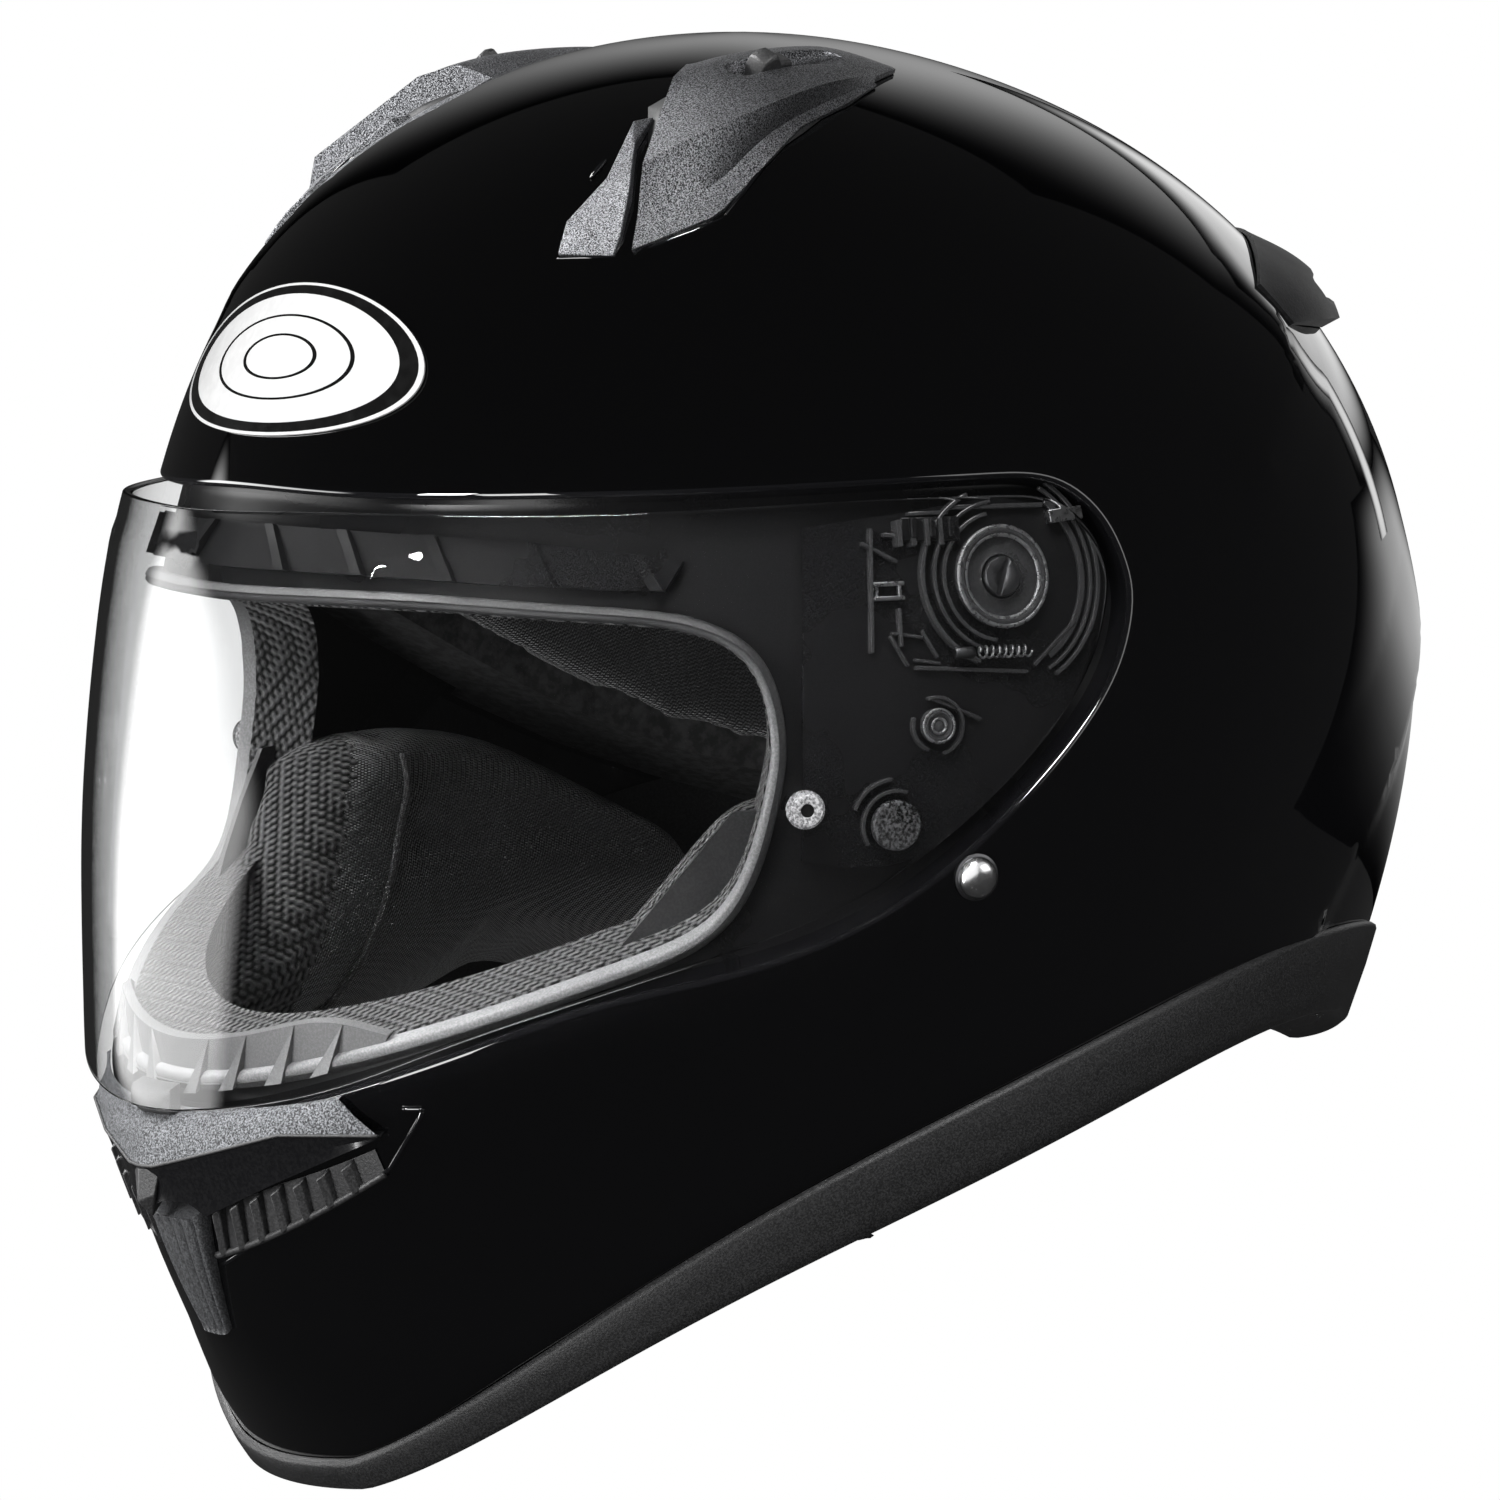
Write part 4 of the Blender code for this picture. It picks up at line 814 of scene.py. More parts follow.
def distance_to(pts, line):
    """Distance from points to a polyline and the signed side of it, seen along the surface."""
    pts = np.asarray(pts, float)
    shape = pts.shape[:-1]
    flat = pts.reshape(-1, 3)
    best = np.full(len(flat), 1e9)
    side = np.ones(len(flat))
    for a, b in zip(line[:-1], line[1:]):
        a = np.array(a, float)
        b = np.array(b, float)
        lead = b - a
        share = np.clip(((flat - a) @ lead) / (lead @ lead), 0, 1)
        gap = flat - a - share[:, None] * lead
        far = np.linalg.norm(gap, axis=1)
        out = np.cross(lead, 0.5 * (a + b) - CENTRE)
        hit = far < best
        best = np.where(hit, far, best)
        side = np.where(hit, gap @ out / (np.linalg.norm(out) * np.maximum(far, 1e-6)), side)
    return best.reshape(shape), side.reshape(shape)


REAR_CREASE = [(70, 147, -18), (80, 135, -31), (90, 123, -46), (100, 105, -63), (104, 91, -80),
               (107, 78, -93.5),
               (110, 64, -104), (111, 56, -110)]
FLANK_CREASE = [(84, 97, 49), (95, 92, 37), (107, 77, 23), (108, 77, 20)]
VENT_CREASE = [(61, -77, 55), (65, -73, 57), (72, -60, 65), (77, -45, 71)]


CREASE_ROUND = 2.4


def ridge(pts, line, height, before, after):
    """Ridge along a line that fades over one distance on one side and over another on the other."""
    both = np.asarray(pts, float).copy()
    both[..., 0] = np.abs(both[..., 0])
    far, side = distance_to(both, line)
    width = after + (before - after) * (0.5 + 0.5 * np.clip(side * 1.4, -1, 1))
    return height * np.maximum(0.0, 1 - np.sqrt(far ** 2 + CREASE_ROUND ** 2) / width) ** 1.5


def shell_relief(pts):
    """Styling of the outer shell: creases at the rear, over the brow and a flat chin."""
    pts = np.asarray(pts, float)
    rise = ridge(pts, REAR_CREASE, 1.6, 26.0, 9.0) + ridge(pts, FLANK_CREASE, 0.8, 22.0, 15.0)
    rise = rise + ridge(pts, VENT_CREASE, 0.9, 9.0, 22.0)
    lateral = np.abs(pts[..., 0])
    low = np.clip((-128 - pts[..., 2]) / 34.0, 0, 1) * (pts[..., 1] < 0)
    low = low * np.clip((pts[..., 2] + 178) / 14.0, 0, 1)
    chin = np.clip((17 - lateral) / 17.0, 0, 1)
    beside = np.clip((lateral - 9) / 22.0, 0, 1) * np.clip((75 - lateral) / 40, 0, 1)
    return rise - 1.3 * low * beside + 0.5 * low * chin


WINDOW_ROUND = 1.1


def flat_depth(value):
    return lambda pts: np.full(np.asarray(pts).shape[:-1], float(value))


def ring_points(spot, radius):
    at, side, up, _ = frame_at(SHELL, spot)
    angle = np.linspace(0, 2 * math.pi, 40, endpoint=False)
    return at + radius * (np.cos(angle)[:, None] * side + np.sin(angle)[:, None] * up)


def edge_round(surface, outer_loop, inner_loop, depth_out, depth_in):
    """Rounded edge from a skin's border down into a wall, with its normals."""
    rings = []
    normals = []
    base = surface.project(outer_loop)
    into = surface.project(inner_loop) - base
    into /= np.linalg.norm(into, axis=1)[:, None]
    out = surface.normal(base)
    for a in np.linspace(0, math.pi / 2, 8):
        share = math.sin(a)
        spot = outer_loop * (1 - share) + inner_loop * share
        depth = depth_in + (depth_out - depth_in) * math.cos(a)
        rings.append(surface.project(spot, depth))
        normals.append(math.cos(a) * out + math.sin(a) * into)
    return rings, normals


def make_outer_shell():
    """Lacquered shell with its visor window, rivet holes, rounded window edge and matte rim."""
    window = round_corners(lens_loop(WINDOW_TOP, WINDOW_LOW, WINDOW_COLUMNS))
    wide = grow_loop(window, WINDOW_ROUND, WINDOW_COLUMNS // 2)
    turn = np.linspace(0, 2 * math.pi, 361)[:-1]
    rim = SHELL.at(turn, rim_drop(turn, RIM_LIFT + 1.0))
    rivets = [ring_points(RIVET_AT * turn_over, 2.6) for _, turn_over in SIDES]
    verts, faces, normals = skin(SHELL, [wide] + rivets, rim, SKIN_TURNS, SKIN_ROWS, shell_relief)
    make_shaded("outer_shell_skin", verts, faces, normals, GLOSS, replaces=["outer_shell"])
    lift = shell_relief(SHELL.project(wide))
    rings, bend = edge_round(SHELL, wide, window, lift, -WINDOW_ROUND)
    rings.append(SHELL.project(window, -RECESS))
    bend.append(bend[-1])
    make_shaded("outer_shell_window_edge", np.concatenate(rings),
                quads(len(rings), len(window), 0, True), np.concatenate(bend), GLOSS)
    stations = ((1.0, 0.0), (0.0, -0.8), (0.0, -2.7), (1.0, -SHELL_WALL), (34.0, -SHELL_WALL))
    inner = [SHELL.at(turn, rim_drop(turn, RIM_LIFT + lift), depth) for lift, depth in stations]
    make("outer_shell_rim", *loft(inner), MATTE)


def round_corners(loop):
    """Loop rounded where its two edges meet."""
    pts = loop.copy()
    for _ in range(6):
        pts = 0.25 * np.roll(pts, 1, axis=0) + 0.5 * pts + 0.25 * np.roll(pts, -1, axis=0)
    return pts


RIVET_AT = (122.0, -8.0, -61.5)
PIVOT = (121.0, 0.0, 0.0)


def make_recess_floor():
    """Recess behind the visor: floor with the eye port and its rounded inner edge."""
    window = round_corners(lens_loop(WINDOW_TOP, WINDOW_LOW, WINDOW_COLUMNS))
    port = round_corners(lens_loop(PORT_TOP, PORT_LOW, PORT_COLUMNS, 0.6))
    wide = grow_loop(window, 0.3, WINDOW_COLUMNS // 2)
    verts, faces, normals = skin(SHELL, [port], wide, 260, 110, flat_depth(-RECESS))
    make_shaded("recess_floor", verts, faces, normals, FLOOR_PLASTIC)
    steps = ((-0.5, -RECESS - 0.6), (-0.5, -9.0), (-0.3, -22.0))
    rings = [SHELL.project(port, -RECESS)]
    rings += [SHELL.project(grow_loop(port, grow, PORT_COLUMNS // 2), depth) for grow, depth in steps]
    make("eye_port_wall", *loft(rings), MESH, sharp=30)


# ---------------------------------------------------------------- visor

def make_visor():
    """Clear shield with a moulded ridge and rounded edges."""
    loop = round_corners(lens_loop(VISOR_TOP, VISOR_LOW, VISOR_COLUMNS))
    edge = 0.7
    wide = grow_loop(loop, -edge, VISOR_COLUMNS // 2)
    outer, tris, bend = skin(VISOR, [], wide, 260, 110, visor_relief)
    faces = [tuple(f) for f in np.concatenate([tris, tris[:, ::-1] + len(outer)])]
    rings = []
    turns = []
    base = VISOR.project(wide, visor_relief(VISOR.project(wide)))
    out = VISOR.normal(base)
    away = VISOR.project(loop) - VISOR.project(wide)
    away /= np.linalg.norm(away, axis=1)[:, None]
    half = VISOR_WALL / 2
    for a in np.linspace(0, math.pi, 11):
        swell = edge * math.sin(a)
        rings.append(base - half * out + half * math.cos(a) * out + swell * away)
        turns.append(math.cos(a) * out + math.sin(a) * away)
    faces += quads(len(rings), len(wide), len(outer) * 2, True)
    verts = np.concatenate([outer, outer - VISOR_WALL * bend] + rings)
    normals = np.concatenate([bend, -bend] + turns)
    make_shaded("visor_shield", verts, faces, normals, CLEAR, "visor_body", ["visor"])


VISOR_RIDGE = [(-95, -81.7, -3.4), (-61, -108.6, 3.7), (0, -123.6, 4.3), (61, -108.6, 3.7), (95, -81.7, -3.4),
               (111, -57, -10.2), (117, -38, -16)]


def visor_relief(pts):
    """Step of the shield's moulded brow line."""
    far, side = distance_to(pts, VISOR_RIDGE)
    step = np.clip(far / 1.6, 0, 1) * side
    fade = np.clip((-pts[..., 1] - 30) / 30, 0, 1)
    return (0.2 * step + 0.42 * np.exp(-(far / 1.3) ** 2)) * fade


def make_visor_fittings():
    """Opening tab and the two pins of the shield."""
    lip = resample([(-8, -136.5, -111.5), (0, -137.0, -111.8), (8, -136.5, -111.5)], 15)
    foot = lip + np.array([0, 0.6, -5.0])
    grid = between(lip, foot, 6)
    swell = 2.0 * pillow(6, 15, 2)
    tab = slab(VISOR.project(grid, -2.6 + swell), VISOR.project(grid, -5.0))
    make("visor_opening_tab", *tab, MATTE, "visor_body", ["visor_tab"], sharp=35)
    rings = [(0.2, -5.4), (1.6, -5.4), (2.2, -5.1), (3.2, -4.4), (4.0, -3.0), (4.0, -VISOR_WALL + 0.02)]
    collar = [(1.3, 0.05), (1.5, 0.5), (2.3, 0.75), (3.1, 0.65), (3.6, 0.05)]
    for side, turn in SIDES:
        axes = frame_at(VISOR, PIN_AT * turn)
        body = join([turned(axes, rings, 40), turned(axes, collar, 40)])
        make(f"fog_pin_{side}", *body, FROSTED, "visor_body", [f"fog_insert_pin_{side}"], sharp=40)
        core = turned(axes, [(1.35, -5.6), (1.35, 0.25), (0.01, 0.2)], 32)
        make(f"fog_pin_core_{side}", *core, PIN_DARK, "visor_body", sharp=40)


PIN_AT = (115.0, -45.0, -46.0)


# ---------------------------------------------------------------- faceted plastic parts

def facets(name, verts, faces, mat, creases, levels, replaces, bevel):
    """Pair of panels from a few corner points: subdivided, with creased edges and a skirt to the shell."""
    made = []
    sharp = {frozenset((a, b)): strength for a, b, strength in creases}
    for side, turn in SIDES:
        mesh = bpy.data.meshes.new(name)
        mesh.from_pydata([tuple(p) for p in np.asarray(verts, float) * turn], [], faces)
        work = bmesh.new()
        work.from_mesh(mesh)
        bmesh.ops.recalc_face_normals(work, faces=work.faces)
        crease = work.edges.layers.float.new("crease_edge")
        for edge in work.edges:
            ends = frozenset(v.index for v in edge.verts)
            edge[crease] = 1.0 if edge.is_boundary else sharp.get(ends, 0.0)
        corner = work.verts.layers.float.new("crease_vert")
        for vert in work.verts:
            vert[corner] = 1.0 if vert.is_boundary else 0.0
        work.to_mesh(mesh)
        work.free()
        form = bpy.data.objects.new(name + "_form", mesh)
        bpy.context.collection.objects.link(form)
        sub = form.modifiers.new("sub", "SUBSURF")
        sub.levels = sub.render_levels = levels
        sub.boundary_smooth = "PRESERVE_CORNERS"
        graph = bpy.context.evaluated_depsgraph_get()
        fine = form.evaluated_get(graph).to_mesh()
        top = np.array([v.co[:] for v in fine.vertices])
        polys = [tuple(p.vertices) for p in fine.polygons]
        bpy.data.objects.remove(form)
        edge_use = {}
        for poly in polys:
            for a, b in zip(poly, poly[1:] + poly[:1]):
                edge_use.setdefault(frozenset((a, b)), []).append((a, b))
        border = [use[0] for use in edge_use.values() if len(use) == 1]
        keep = sorted({i for edge in border for i in edge})
        place = {v: len(top) + k for k, v in enumerate(keep)}
        skirt = [(b, a, place[a], place[b]) for a, b in border]
        verts_all = np.concatenate([top, SHELL.project(top, SKIRT_DEPTH)[keep]])
        obj = make(f"{name}_{side}", verts_all, polys + skirt, mat, replaces=[f"{replaces}_{side}"], sharp=28)
        soften(obj, bevel, 38)
        made.append(obj)
    return made


SKIRT_DEPTH = 0.25


# corner points of the forehead vent cover: seven rows from front to rear, inner border, crest
COVER_POINTS = [
    (51.8, -36.6, 101.5), (66.8, -53.5, 83.4), (69.3, -56.9, 74.6), (72.2, -59.6, 66.0),
    (54.3, -28.1, 104.4), (70.0, -44.3, 88.6), (73.0, -49.2, 77.8), (77.2, -43.4, 72.6),
    (54.5, -19.0, 106.3), (71.5, -33.0, 93.0), (75.0, -42.0, 79.6), (76.8, -40.0, 74.6),
    (54.8, -9.8, 107.2), (70.1, -22.9, 96.4), (71.6, -30.0, 88.0), (72.0, -25.4, 84.8),
    (53.9, 0.2, 107.3), (66.1, -10.4, 99.7), (68.6, -20.4, 93.2), (67.2, -15.0, 91.2),
    (50.5, 10.0, 106.8), (61.0, 1.0, 101.4), (62.0, -1.0, 98.6), (61.6, 1.0, 96.4),
    (45.5, 23.5, 103.4), (52.0, 14.0, 101.8), (53.4, 12.8, 101.0), (54.0, 13.0, 100.0),
    (38.0, -26.5, 101.6), (37.5, -17.0, 104.0), (36.5, -6.0, 105.5), (35.0, 4.0, 106.6), (34.5, 14.0, 107.0),
    (41.0, 25.5, 104.0), (46.5, -30.0, 104.5), (46.0, -22.0, 106.6), (46.0, -12.0, 108.0), (44.5, -1.0,
                                                                                            108.8),
    (42.5, 10.0, 108.6)]


COVER_LIFT = (0.4, 1.1, -2.2, 0.9)


def make_forehead_vents():
    """Forehead vents: faceted cover with a slider in its slot, shadow box, bright lips and front inlay."""
    rows = np.arange(28).reshape(7, 4).tolist()
    faces = []
    creases = []
    for a, b in zip(rows[:-1], rows[1:]):
        faces += [(a[k], a[k + 1], b[k + 1], b[k]) for k in range(3)]
        creases += [(a[1], b[1], 1.0), (a[2], b[2], 1.0)]
    faces += [(34, 0, 4), (34, 4, 8, 35), (35, 8, 12, 36), (36, 12, 16, 37), (37, 16, 20, 38),
              (38, 20, 24, 33)]
    faces += [(28, 34, 35, 29), (29, 35, 36, 30), (30, 36, 37, 31), (31, 37, 38, 32), (32, 38, 33)]
    creases += [(34, 35, 0.3), (35, 36, 0.3), (36, 37, 0.3), (37, 38, 0.3)]
    corners = np.array(COVER_POINTS, float)
    for k, row in enumerate(rows):
        spots = corners[row]
        corners[row] = spots + SHELL.normal(spots) * (np.array(COVER_LIFT) * (1 - k / len(rows)))[:, None]
    covers = facets("forehead_vent_cover", corners, faces, GRAIN, creases, 4, "forehead_vent_cover", 0.35)
    slot = stadium(*slider_frame(), 12.0, 3.6, 4.0, 22.0, SLIDER_TRAVEL / 2, 15)
    knob = slider_knob()
    for (side, turn), cover in zip(SIDES, covers):
        cut(cover, (slot[0] * turn, slot[1]))
        slider = make(f"vent_slider_{side}", knob[0] * turn, knob[1], SATIN, f"slider_{side}",
                      [f"vent_slider_{side}"], sharp=30)
        soften(slider, 0.3)
    grid = between(resample(SHADOW_INNER, 13), resample(SHADOW_OUTER, 13), 5)
    box = slab(SHELL.project(grid, 0.35 + 2.5 * pillow(5, 13, 3)), SHELL.project(grid, 0.3))
    for side, turn in SIDES:
        make(f"vent_shadow_box_{side}", box[0] * turn, box[1], MATTE)
    taper = 0.5 * np.sin(np.linspace(0.15, math.pi - 0.15, 40)) ** 0.5
    for side, turn in SIDES:
        for k, line in enumerate(VENT_LIPS):
            lip = SHELL.project(straight(line, 40), 0.35) * turn
            make(f"forehead_lip_{k}_{side}", *tube(lip, taper, 10), GLOSS)
    make_scoops()


# profile of the slider along its travel as (position, height), and across it
KNOB_ALONG = ((-4.2, 7.2), (-3.2, 9.2), (-1.2, 10.2), (0.6, 10.2), (1.2, 8.6), (4.4, 8.2))
KNOB_ACROSS = ((-2.7, 0.5), (-1.9, 0.0), (1.9, 0.0), (2.7, 0.5))
KNOB_DEPTH = 6.0


def slider_knob():
    at, along, across, out = slider_frame()
    top = np.array([at + x * along + y * across + (h - drop) * out for x, h in KNOB_ALONG for y,
                    drop in KNOB_ACROSS])
    rows, count = len(KNOB_ALONG), len(top)
    faces = quads(rows, 4)
    faces += [tuple(count + i for i in f[::-1]) for f in quads(rows, 4)]
    ring = [0, 1, 2, 3] + [4 * k + 3 for k in range(1, rows)] + [count - 2, count - 3, count - 4] \
        + [4 * k for k in range(rows - 2, 0, -1)]
    faces += [(a, b, b + count, a + count) for a, b in zip(ring, ring[1:] + ring[:1])]
    return np.concatenate([top, top - KNOB_DEPTH * out]), faces


# inner and outer border of the dark box under the vent's openings
SHADOW_INNER = [(44, -38, 96), (40, -14, 102), (40, 16, 105)]
SHADOW_OUTER = [(66, -50, 70), (68, -20, 85), (52, 10, 99)]


VENT_LIPS = (((60.5, -70.4, 64.3), (66.0, -65.4, 64.4), (71.8, -60.0, 64.7)),
             ((71.8, -59.8, 64.9), (76.3, -47.5, 69.9), (77.6, -40.9, 72.6)),
             ((77.4, -40.4, 73.2), (75.2, -34.1, 78.2), (70.6, -24.1, 85.6)),
             ((52.6, -57.4, 80.7), (51.3, -52.9, 84.3)))


SLIDER_AT = (52.0, -14.0, 96.0)
SLIDER_TRAVEL = 10.0


def slider_frame():
    """Middle of the slider at rest, with its travel, cross and outward directions."""
    at = SHELL.project(np.array(SLIDER_AT))
    out = SHELL.normal(at)
    along = np.array([-0.16, 1.0, 0.0])
    along -= out * (along @ out)
    along /= np.linalg.norm(along)
    return at, along, np.cross(out, along), out


def stadium(at, along, across, out, half_length, radius, low, high, shift, segments):
    """Solid with a slot's outline between two heights, shifted along its length."""
    angle = np.linspace(-math.pi / 2, math.pi / 2, segments)
    ends = [(half_length + radius * math.cos(a), radius * math.sin(a)) for a in angle]
    loop = ends + [(-x, -y) for x, y in ends]
    verts = [at + (x + shift) * along + y * across + h * out for h in (low, high) for x, y in loop]
    count = len(loop)
    faces = quads(2, count, 0, True) + [tuple(range(count)), tuple(range(2 * count - 1, count - 1, -1))]
    return np.array(verts), faces


def apply_modifiers(obj):
    """Bake an object's modifiers into its mesh."""
    graph = bpy.context.evaluated_depsgraph_get()
    fine = bpy.data.meshes.new_from_object(obj.evaluated_get(graph))
    obj.modifiers.clear()
    old = obj.data
    obj.data = fine
    bpy.data.meshes.remove(old)


def soften(obj, width, angle=35):
    """Narrow bevel, in millimetres, along edges sharper than an angle."""
    edge = obj.modifiers.new("edge", "BEVEL")
    edge.width = width * MM
    edge.segments = 2
    edge.limit_method = "ANGLE"
    edge.angle_limit = math.radians(angle)


def cut(obj, shape):
    """Take a closed shape away from a piece."""
    guide = make("cut_guide", *shape, MATTE)
    step = obj.modifiers.new("cut", "BOOLEAN")
    step.operation = "DIFFERENCE"
    step.solver = "EXACT"
    step.object = guide
    apply_modifiers(obj)
    bpy.data.objects.remove(guide)


SCOOP_POINTS = [
    (60.8, -70.6, 65.6), (58.1, -66.8, 72.2), (57.4, -56.5, 81.2), (49.6, -45.0, 92.8), (45.0, -34.6, 99.0),
    (70.2, -62.9, 65.4), (69.4, -60.6, 69.8), (65.0, -55.8, 78.6), (55.0, -48.0, 88.4), (49.6, -40.2, 93.6),
    (62.5, -66.5, 69.6), (61.0, -58.6, 78.0)]


def make_scoops():
    """Front inlay of the forehead vents with its narrow inlet."""
    faces = [(0, 5, 6, 10), (0, 10, 1), (1, 10, 11, 2), (10, 6, 7, 11), (2, 11, 7, 8), (2, 8, 3), (3, 8, 9)]
    creases = [(0, 10, 0.8), (10, 11, 0.8), (10, 6, 0.6), (11, 7, 0.4), (2, 8, 0.6), (3, 8, 0.8),
               (1, 10, 0.3)]
    facets("forehead_vent_scoop", SCOOP_POINTS, faces, GRAIN, creases, 3, "forehead_vent_scoop", 0.25)


# ---------------------------------------------------------------- chin vent


COVER_ROWS = [
    [(0, -132.6, -114.0), (12, -131.2, -113.9), (25, -127.8, -112.4), (40, -121.6, -109.6),
     (50, -117.2, -107.6)],
    [(0, -135.4, -118.6), (12, -133.6, -118.2), (25, -130.2, -116.4), (40, -123.9, -112.6),
     (53, -115.4, -110.8)],
    [(0, -136.4, -125.4), (5, -135.8, -125.2), (22.8, -131.7, -120.6), (39.1, -125.4, -115.8),
     (57.8, -112.4, -114.8)]]
LOBE_ROW = [(0, -133.6, -134.2), (5, -133.4, -132.4), (11, -130.6, -132.6), (14.2, -128.6, -135.2),
            (33.6, -123.4, -126.6), (57.9, -112.3, -115.2)]


CHIN_FRAME = [(60.6, -108.3, -109.1), (64.5, -105.2, -108.9), (56.3, -108.9, -122.1), (21.2, -121.4, -140.8),
              (10.4, -122.4, -146.4)]


def make_chin_vent():
    """Chin vent: grained band folding into a smooth lobe on each side, with the small beak in the middle."""
    top = np.stack([straight(mirrored(r), 81) for r in COVER_ROWS])
    lobe = straight(mirrored(LOBE_ROW), 81)
    fold = top[-1]
    tuck = SHELL.project(lobe, 0.6)
    crown = SHELL.project(top[0], 0.3)
    rings = [crown, top[0], 0.5 * (top[0] + top[1]), top[1], 0.5 * (top[1] + top[2]), fold]
    make("chin_vent_band", *loft(rings, False), GRAIN_COARSE, sharp=30, replaces=["chin_vent_cover"])
    steps = [fold, 0.5 * (fold + lobe) + np.array([0, 0.8, 0]), lobe, 0.4 * lobe + 0.6 * tuck, tuck]
    make("chin_vent_lobe", *loft(steps, False), GLOSS_SOFT, sharp=24)
    make("chin_vent_fold", *tube(fold + np.array([0, -0.15, 0.1]), 0.35, 8), SATIN)
    faces = [(0, 1, 4, 3), (1, 2, 5, 4), (3, 4, 6), (4, 5, 6), (0, 3, 7), (2, 7, 5), (3, 6, 7), (5, 7, 6),
             (0, 7, 2, 1)]
    soften(make("chin_vent_beak", BEAK_POINTS, faces, SATIN, sharp=10), 0.3)
    for side, turn in SIDES:
        line = SHELL.project(straight(CHIN_FRAME, 60), 0.1) * turn
        make(f"chin_recess_edge_{side}", *tube(line, 0.55, 10), GLOSS)
    make_chin_slats()
    make_chin_nose()


BEAK_POINTS = [(-5.5, -134.6, -125.4), (0, -136.6, -126.0), (5.5, -134.6, -125.4), (-3.4, -134.6, -131.5),
               (0, -136.9, -133.0), (3.4, -134.6, -131.5), (0, -133.2, -136.6), (0, -129.0, -131.0)]


SLAT_TOP = [(12.5, -128.2, -135.5), (33.6, -122.0, -127.2), (54.5, -111.0, -117.6)]
SLAT_LOW = [(10.0, -122.9, -143.8), (33.0, -117.4, -134.2), (55.5, -109.0, -122.4)]
SLAT_COUNT = 7
# where the first slat starts, how far the last one is from it, and a slat's width, as shares of the row
SLAT_START = 0.06
SLAT_REACH = 0.80
SLAT_WIDTH = 0.030


def make_chin_slats():
    """Row of upright slats on each side of the nose, over a dark backing."""
    high = straight(SLAT_TOP, 41)
    low = straight(SLAT_LOW, 41)
    back = loft([SHELL.project(line, 0.4) for line in (high, 0.5 * (high + low), low)], False)
    slats = []
    for share in SLAT_START + SLAT_REACH * np.arange(SLAT_COUNT) / (SLAT_COUNT - 1):
        a0, a1 = point_on(high, share), point_on(high, share + SLAT_WIDTH)
        b0, b1 = point_on(low, share), point_on(low, share + SLAT_WIDTH)
        outer = [SHELL.project(p, d) for p, d in ((a0, 3.4), (a1, 2.4), (b1, 1.3), (b0, 2.2))]
        inner = [SHELL.project(p, 0.3) for p in (a0, a1, b1, b0)]
        slats.append((outer + inner, BLOCK_FACES))
    verts, faces = join(slats)
    ledge = tube(SHELL.project(low, 0.8), 0.8, 8)
    for side, turn in SIDES:
        piece = make(f"chin_vent_slats_{side}", verts * turn, faces, SATIN,
                     replaces=[f"chin_vent_grille_{side}"],
                     sharp=20)
        soften(piece, 0.25)
        make(f"chin_vent_ledge_{side}", ledge[0] * turn, ledge[1], SATIN)
        make(f"chin_vent_backing_{side}", back[0] * turn, back[1], MATTE)


def point_on(line, share):
    return np.array([np.interp(share * (len(line) - 1), range(len(line)), line[:, i]) for i in range(3)])


def make_chin_nose():
    """Fluted nose that narrows down the chin."""
    columns = np.linspace(-1, 1, 61)
    grid = []
    for t in np.linspace(0, 1, 40):
        half = 10.5 * (1 - t) + 5.2 * t
        height = -133.5 * (1 - t) + -160.4 * t
        base = np.stack([columns * half, np.full(61, -126 + 9 * t), np.full(61, height)], -1)
        flute = 1.0 - np.abs(np.sin(columns * math.pi * 2.5)) ** 0.5
        envelope = np.clip(1.25 - np.abs(columns) ** 6 * 1.25, 0, 1)
        envelope = envelope * np.clip((1 - t) * 30, 0, 1) * np.clip(t * 12, 0.2, 1)
        proud = 1.0 + (3.6 - 2.4 * t) * np.clip(1 - np.abs(columns) ** 8, 0, 1) ** 0.5
        grid.append(SHELL.project(base, proud - 1.3 * flute * envelope))
    nose = slab(np.stack(grid), SHELL.project(np.stack(grid), 0.2))
    make("chin_vent_nose_piece", *nose, GRAIN_FINE, replaces=["chin_vent_nose"], sharp=40)


# ---------------------------------------------------------------- rear vent, trim, badge

REAR_TOP = [(0, 140, 78), (35, 132, 77), (65, 112, 71), (84, 96, 60)]
REAR_LOW = [(0, 156, 52), (35, 146, 50), (62, 124, 47), (82, 100, 48)]


def make_rear_vent():
    """Exhaust cover with three shadowed slots along its trailing edge."""
    columns = 121
    rows = 33
    grid = between(resample(mirrored(REAR_TOP), columns), resample(mirrored(REAR_LOW), columns), rows)
    ends = (1 - np.abs(np.linspace(-1, 1, columns)) ** 4)[None, :]
    along = np.linspace(0, 1, rows)[:, None]
    rise = 1.2 + 5.8 * np.sin(along * 0.72 * math.pi) ** 1.2 * ends
    across = np.linspace(-1, 1, columns)[None, :]
    slots = np.zeros((rows, columns))
    for middle in (-0.52, 0.0, 0.52):
        wide = np.clip(1 - (np.abs(across - middle) / 0.2) ** 8, 0, 1)
        deep = np.clip(1 - ((along - 0.72) / 0.13) ** 4, 0, 1)
        slots = np.maximum(slots, wide * deep)
    outer = SHELL.project(grid, rise - 3.0 * slots * ends)
    make("rear_exhaust_cover", *slab(outer, SHELL.project(grid, 0.3)), MATTE, replaces=["rear_vent_cover"],
         sharp=40)


TRIM_LEG = [7, 13, 17, 17, 20]
FLOOR_GAP = 0.7
TRIM_WALL = 1.2
# how much of its lowest point the strip loses to stand flat
TRIM_FLAT = 0.6


